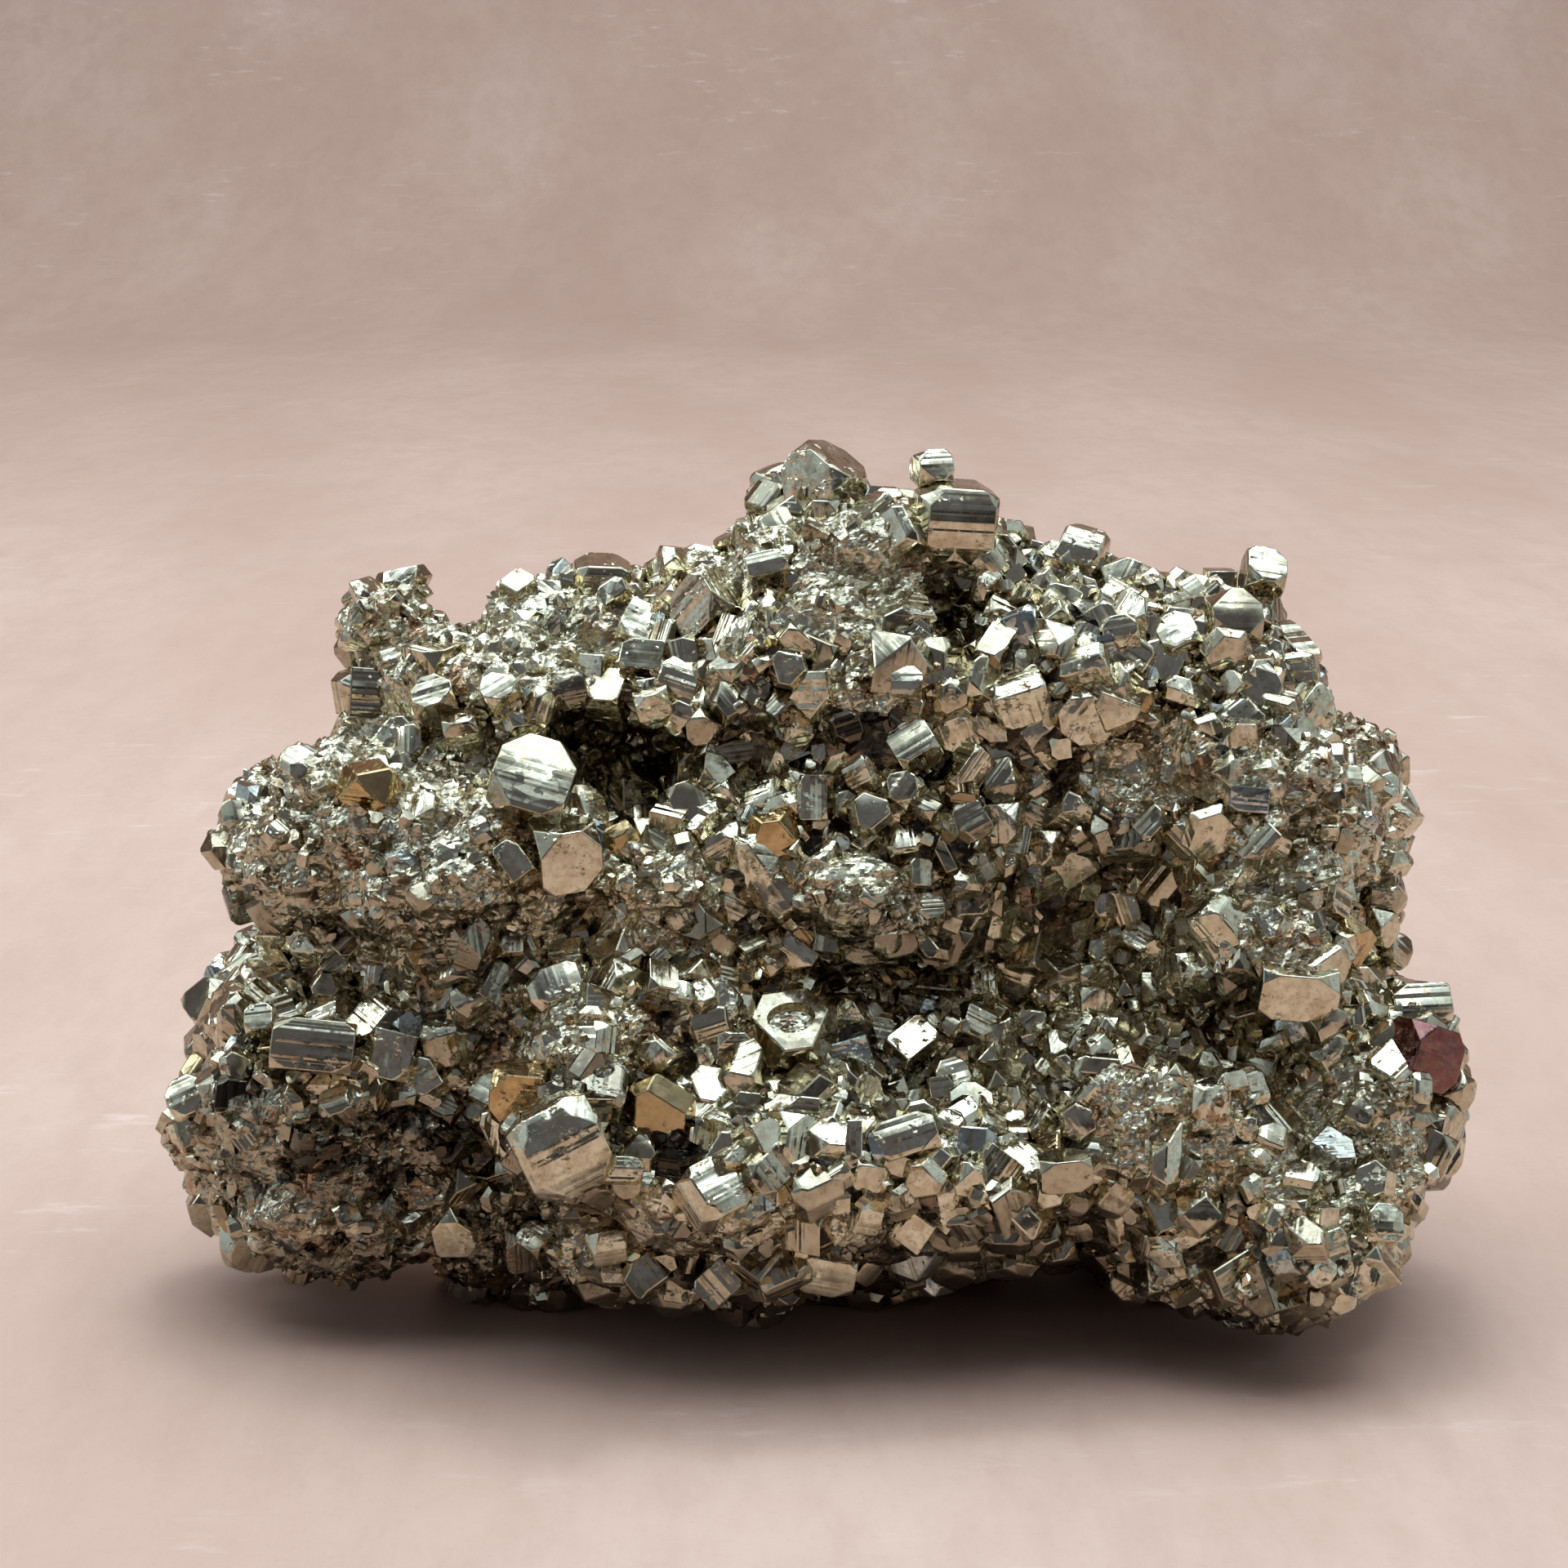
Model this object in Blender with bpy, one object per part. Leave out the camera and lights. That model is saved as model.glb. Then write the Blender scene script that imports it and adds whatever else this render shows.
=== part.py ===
"""Pyrite specimen: a mass of intergrown pyrite crystals, grown as one piece, that rests on a table.

The mass is built from rounded lobes that are fused and weathered, with hollows cut between them.
Crystals with flat faces are then seated on it and joined to it, and its underside is levelled where
it stands. Lengths in the tables are in millimetres. +Z is up, +X is along the length, and -Y is the
open side, where the hollows and the named crystals are.
"""

import math
import random

import bmesh
import bpy
from mathutils import Euler, Matrix, Vector, noise
from mathutils.bvhtree import BVHTree

MM = 0.001
SEED = 11

# The mass
FUSE_STEP = 1.3                          # grid that fuses the lobes into one skin
SMOOTH_STEPS = 3
LUMP_SIZE, LUMP_HEIGHT = 8.0, 1.3
GRAIN_SIZE, GRAIN_HEIGHT = 3.2, 0.45
BODY_TRIANGLES = 1900                    # left of the mass before the crystals are joined

# The crystals between those of the table
FILL_ACROSS = (2.8, 4.9)
FILL_COUNT = 125
FILL_TRIES = 9000
FILL_GAP = 1.3
FILL_CORNERS = 0.55                      # share of a crystal's corners that are cut off
GRANULAR_KEEP = 0.1                      # share of the crystals kept where the mass is granular
GRANULAR_SIZE, GRANULAR_LEVEL = 13.0, 0.12

# How far a crystal's centre stands off the skin, as a share of its width
FRONT_LIFT, FILL_LIFT = 0.06, -0.18

# The crystals of the open side are laid out on a sheet through SHEET_MIDDLE, which leans back by
# SHEET_TILT, and are carried to the skin along the lines from SHEET_EYE.
SHEET_TILT = math.radians(12)
SHEET_DISTANCE = 260.0
SHEET_MIDDLE = Vector((-1.9, 0, 37))
SHEET_RIGHT = Vector((1, 0, 0))
SHEET_UP = Vector((0, math.sin(SHEET_TILT), math.cos(SHEET_TILT)))
SHEET_FORWARD = Vector((0, math.cos(SHEET_TILT), -math.sin(SHEET_TILT)))
SHEET_EYE = SHEET_MIDDLE - SHEET_DISTANCE * SHEET_FORWARD

# Face distances of each habit, for a half width of about 1: cube, octahedron, pyritohedron
HABITS = {
    "cube": (0.84, 1.13, None),
    "block": (0.84, 1.26, None),
    "plate": (0.86, 1.0, None),
    "barrel": (0.88, 1.14, 1.0),
    "octo": (0.9, 0.92, None),
}
FILL_HABITS = ("cube", "cube", "block", "plate", "octo")
BLOCK_STRETCH = (1.15, 0.74, 0.74)
PLATE_FLATNESS = 0.5
UNEVEN = (0.9, 1.08)                     # spread of the face distances of one crystal
UNEVEN_PYRITOHEDRON = (0.96, 1.04)

ORIGIN_SHIFT = Vector((-0.21, -0.90, 2.5))  # brings the middle of the underside to the origin
FLOOR_BLOCK = (200.0, 200.0, 30.0)       # what is cut away below the underside

PYRITE_COLOUR = (0.62, 0.54, 0.38, 1.0)
PYRITE_ROUGHNESS = 0.28

# Lobes of the mass: centre x, y, z, then radii along x, y, z, then tilt about Y in degrees
LOBES = (
    # core
    (0, 5, 27, 37, 19, 21, 0),
    (6, 7, 42, 26, 15, 12, 0),
    # upper left terrace and its corner knob
    (-20, 7, 40, 14.5, 14, 9, 0),
    (-33, 9, 45.5, 3.8, 5, 6.5, 0),
    (-17, 10, 47.5, 7, 6, 4.5, 0),
    # crest
    (3, 5, 51, 11, 9, 8, 0),
    (2, 10, 55, 7, 6, 5, 20),
    (11, 4, 53, 4.5, 5, 4.5, 0),
    (-7, 8, 50.5, 5, 6, 4.6, 0),
    # upper right shoulder
    (19, 4, 44.5, 14, 13, 9.3, 0),
    (30, 4, 43, 8.5, 12, 8.8, 0),
    (37, 6, 33.5, 8.5, 12, 9, 0),
    (39, 4, 30.5, 7.6, 11, 8, 0),
    # lower right buttress
    (39, -2, 14.5, 11.2, 16, 9, 0),
    (33, -15, 8, 11.5, 11, 7.6, 0),
    (26, -13, 16, 10, 9, 6.5, 0),
    (25, -8, 6.5, 13, 10, 6, 0),
    # lower ledge
    (-3, -16, 13.5, 18, 11, 6, 0),
    (-17, -19, 16.5, 6, 7, 6.5, 0),
    (-11, -11, 23.5, 7.5, 8, 6, 0),
    (13, -16, 12, 10, 9, 5.5, 0),
    (-7, -12, 6.5, 14, 10, 6, 0),
    (12, -10, 6, 10, 9, 5, 0),
    # lower left buttress
    (-33, -3, 15, 14, 14, 10.5, 0),
    (-39.5, -1, 10.5, 9.5, 11, 9.5, 0),
    (-33, -9, 9.5, 12, 8, 8, 0),
    (-41, 2, 18.5, 6, 8, 5, 0),
    (-22, -6, 8, 9, 10, 7.5, 0),
    (-21, -7, 22.5, 11, 9, 6.5, 0),
    # middle left bulge
    (-32, 0, 32, 11.5, 13, 8.5, 0),
    (-38, 2, 31.3, 6, 9, 7.5, 0),
    (-24, -8, 32.5, 10, 8, 6.5, 0),
    # knobs above the groove
    (-10, -9, 31.5, 7, 7, 5.5, 0),
    (4, -8, 31.5, 8, 8, 5.5, 0),
    (18, -2, 34, 10, 7, 8, 0),
    (33, -8, 27, 8, 9, 5, 0),
    (32, -4, 36, 9, 10, 8, 0),
    (4, -2, 43, 16, 8, 7, 0),
    # back
    (-20, 18, 22, 16, 12, 15, 0),
    (10, 19, 29, 18, 11, 16, 0),
    (30, 14, 20, 14, 12, 14, 0),
    (0, 18, 10.5, 22, 12, 11.5, 0),
    # feet, set back under the mass
    (2, 0, 3, 18, 9, 7.5, 0),
    (28, 2, 4, 10, 10, 8, 0),
    (-21, -1, 3.5, 8, 9, 7.5, 0),
    (4, 19, 4, 17, 9, 8, 0),
)

# Hollows cut into the mass: centre and radii as above
HOLLOWS = (
    (-14, -5, 39, 5, 9, 4.5, 0),
    (-16, -10, 41, 17, 7, 2.6, 0),
    (8, -16, 24.3, 12.5, 11, 3.0, 0),
    (28, -18, 22, 11, 9, 2.2, 0),
    (21, -14, 30, 8, 8, 7, 0),
    (-45, -9, 15.5, 1.8, 4, 1.6, 0),
    (10.5, -3, 50, 2.6, 5, 3, 0),
    (-25, -19, 12, 2.6, 4.5, 6, 0),
    (15, -16, 0.5, 9, 8, 4, 0),
    (-7, -24, 18, 2.6, 5, 2.2, 0),
    (48, -4, 22.8, 6, 12, 1.5, 0),
)


# Crystals of the open side: sheet right, sheet up, width, habit, then where its main face looks
# (degrees to the right and up from -Y) and its spin about that direction
FRONT_CRYSTALS = (
    (13.0, 19.8, 6.9, "barrel", 6, -3, 2),
    (3.1, 22.8, 5.9, "cube", -34, 6, 24),
    (11.2, 23.8, 3.1, "cube", 20, 30, 20),
    (-5.6, 13.5, 5.3, "cube", -42, 8, 5),
    (-18.9, -0.5, 7.4, "cube", 6, 43, -14),
    (-16.7, -5.4, 5.6, "cube", 20, -6, 25),
    (-20.4, -5.9, 3.1, "block", -10, 25, -60),
    (-11.4, -1.0, 3.8, "plate", 25, 20, 15),
    (-0.9, -4.1, 4.0, "plate", 0, -4, 0),
    (0.6, -18.8, 6.6, "plate", 4, 50, 15),
    (9.6, -19.7, 3.9, "block", 12, 47, 48),
    (-4.0, -19.8, 3.8, "cube", 20, -8, 15),
    (-9.4, -20.5, 3.1, "cube", -25, 5, 30),
    (-9.5, -24.8, 5.2, "plate", -4, -9, 20),
    (-5.6, -23.0, 3.5, "plate", 10, 50, 0),
    (-17.0, -27.1, 7.5, "barrel", 14, 2, 38),
    (-12.5, -29.3, 3.0, "block", 20, 25, 12),
    (-35.4, -20.0, 6.4, "block", 4, 24, -3),
    (-39.6, -18.0, 2.6, "cube", -10, 40, 0),
    (-44.7, -23.9, 3.7, "cube", -20, 30, 10),
    (34.0, 12.2, 4.6, "cube", 12, 38, 8),
    (33.6, 9.9, 3.7, "plate", 4, -12, 0),
    (30.0, 10.9, 3.7, "cube", -22, 42, 12),
    (36.2, 15.8, 3.7, "cube", 15, 45, 0),
    (25.6, 11.4, 3.0, "cube", -12, 22, 0),
    (9.9, 2.8, 3.8, "cube", -20, 38, 20),
    (13.7, 1.0, 3.7, "block", 32, 0, 80),
    (9.0, -0.5, 2.8, "cube", -8, 28, 50),
    (6.5, -2.2, 3.0, "plate", 5, 30, 0),
    (2.5, -1.0, 3.7, "block", -20, 12, 75),
    (-10.5, 9.5, 3.8, "block", -18, 32, -20),
    (-9.9, 5.9, 3.1, "cube", 5, -12, 20),
    (-6.2, 4.3, 2.8, "cube", -10, -5, 40),
    (-7.1, 1.1, 3.2, "cube", 15, 4, 10),
    (-26.3, 6.2, 3.6, "cube", -14, 45, 10),
    (-21.5, 6.7, 3.3, "cube", -8, 42, 30),
    (-24.4, 4.1, 3.1, "cube", 10, -14, 20),
    (0.3, 8.7, 2.8, "plate", -8, 20, 0),
    (0.9, 10.9, 2.8, "block", 10, -6, -30),
    (-1.2, 16.4, 3.1, "block", -5, 35, 10),
    (39.6, 5.9, 3.7, "block", 30, 10, 70),
    (35.2, -1.1, 3.1, "block", -6, 10, -10),
    (38.6, -15.2, 5.9, "block", 2, -14, -4),
    (40.9, -18.2, 3.3, "cube", 25, 0, 45),
    (47.9, -16.9, 4.6, "block", 10, 34, 10),
    (48.1, -20.6, 5.4, "cube", 34, 4, 12),
    (50.7, -23.2, 2.8, "cube", 48, -6, 0),
    (44.7, -10.8, 3.3, "cube", 48, -4, 30),
    (46.0, -12.6, 2.8, "cube", 40, 10, 0),
    (9.4, -26.8, 4.6, "block", -6, 30, 14),
    (12.5, -22.5, 3.1, "cube", 20, 42, 30),
    (10.5, -29.9, 3.0, "plate", -6, -8, 0),
    (14.1, -30.0, 2.8, "plate", 10, -12, 0),
    (22.4, -25.6, 2.8, "plate", -5, 12, 0),
    (21.1, -29.3, 3.8, "block", 6, -6, 10),
    (45.1, -33.5, 3.3, "cube", 20, 28, 10),
    (3.2, -36.6, 4.6, "block", -4, -10, -14),
    (6.4, -36.3, 2.8, "block", 15, -10, 70),
)

# Granular zones of the open side, with few whole crystals: sheet right, sheet up, half sizes
GRANULAR_ZONES = (
    (4.9, 15.1, 6.2, 4.6),
    (-16.4, 10.8, 8.3, 2.8),
    (-27.5, -4.3, 11.4, 9.3),
    (-31.8, -28.4, 7.1, 4.9),
    (-9.9, -8.7, 4.9, 4.9),
    (-18.2, -11.1, 2.8, 2.5),
    (6.2, -8.7, 6.2, 3.7),
    (-17.9, -19.5, 8.0, 4.0),
    (27.5, 1.9, 4.6, 4.3),
    (38.9, -2.5, 6.8, 6.2),
    (37.4, -11.4, 5.3, 3.4),
    (28.4, -25.6, 6.2, 4.6),
    (34.9, -29.7, 7.7, 2.5),
    (6.5, 7.7, 2.8, 2.8),
    (-18.5, -31.5, 2.5, 1.9),
    (30.0, -39.6, 7.1, 2.5),
)


def mesh_object(name, bm):
    mesh = bpy.data.meshes.new(name)
    bm.to_mesh(mesh)
    bm.free()
    obj = bpy.data.objects.new(name, mesh)
    bpy.context.scene.collection.objects.link(obj)
    return obj


def helper(obj):
    """Marks a cutter or a guide, which is no piece of the specimen."""
    obj.hide_render = True
    obj.display_type = "WIRE"
    return obj


def voxel_fuse(obj, name):
    fuse = obj.modifiers.new(name, "REMESH")
    fuse.mode = "VOXEL"
    fuse.voxel_size = FUSE_STEP * MM


def ellipsoids(name, rows):
    """One fused object that holds an ellipsoid for each row of a table."""
    bm = bmesh.new()
    for x, y, z, radius_x, radius_y, radius_z, tilt in rows:
        place = Matrix.LocRotScale(
            Vector((x, y, z)) * MM,
            Euler((0, math.radians(tilt), 0)),
            Vector((radius_x, radius_y, radius_z)) * MM,
        )
        bmesh.ops.create_icosphere(bm, subdivisions=3, radius=1, matrix=place)
    obj = mesh_object(name, bm)
    voxel_fuse(obj, "fuse")
    return obj


def fused_mass():
    """The lobes fused into one skin with the hollows cut, as a bmesh."""
    mass = ellipsoids("lobes", LOBES)
    hollows = helper(ellipsoids("hollows", HOLLOWS))
    cut = mass.modifiers.new("cut", "BOOLEAN")
    cut.operation = "DIFFERENCE"
    cut.object = hollows
    voxel_fuse(mass, "even")
    soften = mass.modifiers.new("soften", "SMOOTH")
    soften.factor = 0.5
    soften.iterations = SMOOTH_STEPS
    bm = bmesh.new()
    bm.from_object(mass, bpy.context.evaluated_depsgraph_get())
    bpy.data.objects.remove(mass)
    bpy.data.objects.remove(hollows)
    return bm


def weather(bm):
    """Raises lumps and grain on the skin, along its normals."""
    bm.normal_update()
    heights = []
    for vert in bm.verts:
        at = vert.co / MM
        lump = noise.noise(at / LUMP_SIZE) * LUMP_HEIGHT
        grain = noise.noise(at / GRAIN_SIZE) * GRAIN_HEIGHT
        heights.append((lump + grain) * MM)
    for vert, height in zip(bm.verts, heights, strict=True):
        vert.co += vert.normal * height
    bm.normal_update()


def sheet_place(point):
    """Where a point in millimetres falls on the sheet, to the right and up from its middle."""
    line = point - SHEET_EYE
    at = SHEET_EYE + line * (SHEET_DISTANCE / line.dot(SHEET_FORWARD)) - SHEET_MIDDLE
    return at.dot(SHEET_RIGHT), at.dot(SHEET_UP)


def granular(point, normal):
    """Whether a point in millimetres lies where the mass is granular."""
    if normal.dot((SHEET_EYE - point).normalized()) > 0.1:
        right, up = sheet_place(point)
        return any(
            ((right - x) / half_x) ** 2 + ((up - y) / half_y) ** 2 < 1
            for x, y, half_x, half_y in GRANULAR_ZONES
        )
    return noise.noise(point / GRANULAR_SIZE + Vector((7, 3, 5))) > GRANULAR_LEVEL


def habit_planes(habit, corner_share, rng):
    """Outward normals and distances of a crystal's faces, a little uneven."""
    cube, octahedron, pyritohedron = HABITS[habit]
    planes = []
    for axis in range(3):
        for side in (1, -1):
            normal = Vector((0, 0, 0))
            normal[axis] = side
            planes.append((normal, cube * rng.uniform(*UNEVEN)))
    for x in (1, -1):
        for y in (1, -1):
            for z in (1, -1):
                if rng.random() > corner_share:
                    continue
                flat = PLATE_FLATNESS if habit == "plate" and x == y == z else 1
                normal = Vector((x, y, z)).normalized()
                planes.append((normal, octahedron * flat * rng.uniform(*UNEVEN)))
    if pyritohedron:
        for a in (1, -1):
            for b in (2, -2):
                for normal in ((0, a, b), (b, 0, a), (a, b, 0)):
                    distance = pyritohedron * rng.uniform(*UNEVEN_PYRITOHEDRON)
                    planes.append((Vector(normal).normalized(), distance))
    return planes


def crystal_bmesh(habit, corner_share, rng):
    """A crystal about 2 across, cut from a cube face by face."""
    bm = bmesh.new()
    bmesh.ops.create_cube(bm, size=4)
    for normal, distance in habit_planes(habit, corner_share, rng):
        whole = bm.verts[:] + bm.edges[:] + bm.faces[:]
        cut = bmesh.ops.bisect_plane(
            bm, geom=whole, plane_co=normal * distance, plane_no=normal, clear_outer=True, dist=1e-5
        )
        rim = [item for item in cut["geom_cut"] if isinstance(item, bmesh.types.BMEdge)]
        if rim:
            bmesh.ops.contextual_create(bm, geom=rim)
    bmesh.ops.remove_doubles(bm, verts=bm.verts, dist=0.02)
    bmesh.ops.recalc_face_normals(bm, faces=bm.faces)
    if habit == "block":
        bmesh.ops.scale(bm, verts=bm.verts, vec=BLOCK_STRETCH)
    return bm


def facing(habit, right, up, spin):
    """The rotation that turns a crystal's main face to a direction, in degrees from -Y."""
    look = Vector((0, -1, 0))
    look.rotate(Euler((-math.radians(up), 0, math.radians(right))))
    main_face = Vector((1, 1, 1)) if habit == "plate" else Vector((0, 0, 1))
    turn = main_face.rotation_difference(look)
    return Matrix.Rotation(math.radians(spin), 3, look) @ turn.to_matrix()


def seat_on_line(skin, right, up):
    """Where the line through a place on the sheet meets the skin or passes by it, and its direction."""
    place = right * SHEET_RIGHT + up * SHEET_UP
    line = (SHEET_MIDDLE + place - SHEET_EYE).normalized()
    for step in range(9):
        aim = SHEET_MIDDLE + place * (1 - 0.02 * step) - SHEET_EYE
        reach = skin.ray_cast(SHEET_EYE * MM, aim)[3]
        if reach is not None:
            return SHEET_EYE * MM + line * reach, line
    raise ValueError(f"no skin near {right}, {up}")


def front_seats(skin):
    """(centre, half width, rotation, habit) of the crystals of the table, in metres."""
    seats = []
    for right, up, across, habit, look_right, look_up, spin in FRONT_CRYSTALS:
        point, line = seat_on_line(skin, right, up)
        centre = point - line * FRONT_LIFT * across * MM
        seats.append((centre, across / 2 * MM, facing(habit, look_right, look_up, spin), habit))
    return seats


def fill_seats(bm, taken, rng):
    """Seats between those taken, spread over the whole skin, in the same form."""
    bm.faces.ensure_lookup_table()
    areas = [face.calc_area() for face in bm.faces]
    seats = []
    for pick in rng.choices(range(len(areas)), areas, k=FILL_TRIES):
        face = bm.faces[pick]
        point = face.calc_center_median()
        if granular(point / MM, face.normal) and rng.random() > GRANULAR_KEEP:
            continue
        across = rng.triangular(*FILL_ACROSS, FILL_ACROSS[0])
        if any(
            (point - seat[0]).length < (0.35 * across + FILL_GAP) * MM + 0.7 * seat[1]
            for seat in taken + seats
        ):
            continue
        habit = rng.choice(FILL_HABITS)
        turn = Euler([rng.uniform(0, math.tau) for _ in range(3)]).to_matrix()
        seats.append((point + face.normal * FILL_LIFT * across * MM, across / 2 * MM, turn, habit))
        if len(seats) == FILL_COUNT:
            break
    return seats


def crystals_bmesh(seats, rng):
    """All the crystals in one mesh, still overlapping. Those of the table have all their corners cut."""
    whole = bmesh.new()
    for index, (centre, half_width, turn, habit) in enumerate(seats):
        named = index < len(FRONT_CRYSTALS) or habit == "plate"
        bm = crystal_bmesh(habit, 1.0 if named else FILL_CORNERS, rng)
        bm.transform(Matrix.LocRotScale(centre, turn, Vector((half_width,) * 3)))
        piece = bpy.data.meshes.new("crystal")
        bm.to_mesh(piece)
        bm.free()
        whole.from_mesh(piece)
        bpy.data.meshes.remove(piece)
    return whole


def pyrite_material():
    material = bpy.data.materials.new("pyrite")
    material.use_nodes = True
    surface = material.node_tree.nodes["Principled BSDF"]
    surface.inputs["Base Color"].default_value = PYRITE_COLOUR
    surface.inputs["Metallic"].default_value = 1.0
    surface.inputs["Roughness"].default_value = PYRITE_ROUGHNESS
    return material


def main():
    for obj in list(bpy.data.objects):
        bpy.data.objects.remove(obj)
    rng = random.Random(SEED)
    mass = fused_mass()
    weather(mass)
    seats = front_seats(BVHTree.FromBMesh(mass))
    seats += fill_seats(mass, seats, rng)

    crystals = helper(mesh_object("crystals", crystals_bmesh(seats, rng)))
    specimen = mesh_object("pyrite_cluster", mass)
    for obj in (crystals, specimen):
        obj.data.transform(Matrix.Translation(ORIGIN_SHIFT * MM))
    thin = specimen.modifiers.new("thin", "DECIMATE")
    thin.ratio = BODY_TRIANGLES / sum(len(face.vertices) - 2 for face in specimen.data.polygons)
    join = specimen.modifiers.new("join", "BOOLEAN")
    join.operation = "UNION"
    join.use_self = True
    join.object = crystals

    below = bmesh.new()
    size = Vector(FLOOR_BLOCK) * MM
    place = Matrix.LocRotScale(Vector((0, 0, -size.z / 2)), None, size)
    bmesh.ops.create_cube(below, size=1, matrix=place)
    level = specimen.modifiers.new("level", "BOOLEAN")
    level.operation = "DIFFERENCE"
    level.object = helper(mesh_object("floor", below))

    specimen.data.materials.append(pyrite_material())


main()
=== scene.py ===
"""Looks of the pyrite specimen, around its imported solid: every crystal face, the granular patches
between them and the finish of both.

The mass and its named crystals are worked out as the solid's are, from the same tables and in the
same order of random draws, so each crystal here grows out of its place on the solid. Thousands of
smaller crystals and grains then cover the skin between them. Lengths in the tables are in
millimetres, +Z is up, and -Y is the open side.
"""

import itertools
import math
import random

import bmesh
import bpy
import numpy as np
from mathutils import Euler, Matrix, Quaternion, Vector, noise
from mathutils.bvhtree import BVHTree

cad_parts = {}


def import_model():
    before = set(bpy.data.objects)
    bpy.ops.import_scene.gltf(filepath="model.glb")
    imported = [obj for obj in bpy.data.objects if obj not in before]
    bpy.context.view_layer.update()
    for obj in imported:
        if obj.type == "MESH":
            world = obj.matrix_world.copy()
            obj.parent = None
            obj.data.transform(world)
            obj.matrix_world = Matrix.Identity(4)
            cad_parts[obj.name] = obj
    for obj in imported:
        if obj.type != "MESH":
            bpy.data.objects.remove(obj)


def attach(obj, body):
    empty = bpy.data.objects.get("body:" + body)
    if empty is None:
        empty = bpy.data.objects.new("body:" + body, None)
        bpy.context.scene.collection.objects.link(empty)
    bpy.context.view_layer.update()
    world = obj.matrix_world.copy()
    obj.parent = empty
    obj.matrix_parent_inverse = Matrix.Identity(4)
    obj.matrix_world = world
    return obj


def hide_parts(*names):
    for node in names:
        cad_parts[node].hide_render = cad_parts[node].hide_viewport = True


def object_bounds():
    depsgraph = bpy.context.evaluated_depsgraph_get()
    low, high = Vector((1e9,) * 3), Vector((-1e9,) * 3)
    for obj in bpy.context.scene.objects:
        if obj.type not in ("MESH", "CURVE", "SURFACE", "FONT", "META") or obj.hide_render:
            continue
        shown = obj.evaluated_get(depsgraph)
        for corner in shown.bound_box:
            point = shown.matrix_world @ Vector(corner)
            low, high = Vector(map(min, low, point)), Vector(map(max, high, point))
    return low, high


MM = 0.001
SEED = 11

# The mass
FUSE_STEP = 1.3  # grid that fuses the lobes into one skin
SMOOTH_STEPS = 3
LUMP_SIZE, LUMP_HEIGHT = 8.0, 1.3
GRAIN_SIZE, GRAIN_HEIGHT = 3.2, 0.45

# The crystals between those of the table
FILL_ACROSS = (2.8, 4.9)
FILL_COUNT = 125
FILL_TRIES = 9000
FILL_GAP, FILL_REACH, SEAT_REACH = 1.3, 0.35, 0.7  # room kept: in mm, and as shares of widths
FILL_CORNERS = 0.55  # share of a crystal's corners that are cut off
GRANULAR_KEEP = 0.1  # share of the crystals kept where the mass is granular
GRANULAR_SIZE, GRANULAR_LEVEL, GRANULAR_SHIFT = 13.0, 0.12, Vector((7, 3, 5))
OPEN_SIDE = 0.1  # the skin is on the open side where it faces SHEET_EYE more than this

# How far a crystal's centre stands off the skin, as a share of its width
FRONT_LIFT, FILL_LIFT = 0.06, -0.18
# A line that passes by the skin is aimed nearer to the sheet's middle, in steps
AIM_STEPS, AIM_STEP = 9, 0.02

# The crystals of the open side are laid out on a sheet through SHEET_MIDDLE, which leans back by
# SHEET_TILT, and are carried to the skin along the lines from SHEET_EYE.
SHEET_TILT = math.radians(12)
SHEET_DISTANCE = 260.0
SHEET_MIDDLE = Vector((-1.9, 0, 37))
SHEET_RIGHT = Vector((1, 0, 0))
SHEET_UP = Vector((0, math.sin(SHEET_TILT), math.cos(SHEET_TILT)))
SHEET_FORWARD = Vector((0, math.cos(SHEET_TILT), -math.sin(SHEET_TILT)))
SHEET_EYE = SHEET_MIDDLE - SHEET_DISTANCE * SHEET_FORWARD

# Face distances of each habit, for a half width of about 1: cube, octahedron, pyritohedron
HABITS = {
    "cube": (0.84, 1.13, None),
    "block": (0.84, 1.26, None),
    "plate": (0.86, 1.0, None),
    "barrel": (0.88, 1.14, 1.0),
    "octo": (0.9, 0.92, None),
}
FILL_HABITS = ("cube", "cube", "block", "plate", "octo")
BLOCK_STRETCH = (1.15, 0.74, 0.74)
PLATE_FLATNESS = 0.5
UNEVEN = (0.9, 1.08)  # spread of the face distances of one crystal
UNEVEN_PYRITOHEDRON = (0.96, 1.04)

ORIGIN_SHIFT = Vector((-0.21, -0.90, 2.5))  # brings the middle of the underside to the origin

PIXELS_PER_MM = 16.18  # at the middle of the sheet, in an image 1920 wide
IMAGE_WIDTH = 1920
SENSOR = 36.0
CLIP_START = 0.01
SHIFT = np.array(ORIGIN_SHIFT) * MM

# The mass between the crystals
CRYSTAL_BED = -0.20  # how far below the solid's skin it lies among crystals
BED_ROUGHNESS, BED_SIZE = 0.3, 1.7
KNOB_SIZE = 3.8  # rounded knobs of the granular zones
KNOB_HEIGHT = 1.5
KNOB_RISE = 0.35
KNOB_MIDDLE = 0.25
KNOB_WARP = (0.35, 2.0)  # how far noise pushes the knobs out of round, and its size
HUMP_SIZE = 7.0  # rounded humps all over, with creases between
HUMP_HEIGHT = 3.4
HUMP_MIDDLE = 0.2
HUMP_WARP = (0.3, 5.0)
CRUMB_SIZE = 1.25
CRUMB_HEIGHT = 0.46
CRUMB_FINER, CRUMB_FINE_SHARE = 2.1, 0.6
CRUMB_JITTER, JITTER_SCALE = 0.09, 7.3
FINER_FROM = 0.3  # the mesh is finer where the mass is more granular than this
SEAM = 6.0  # where the mass is parted in two pieces, along Y

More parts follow.
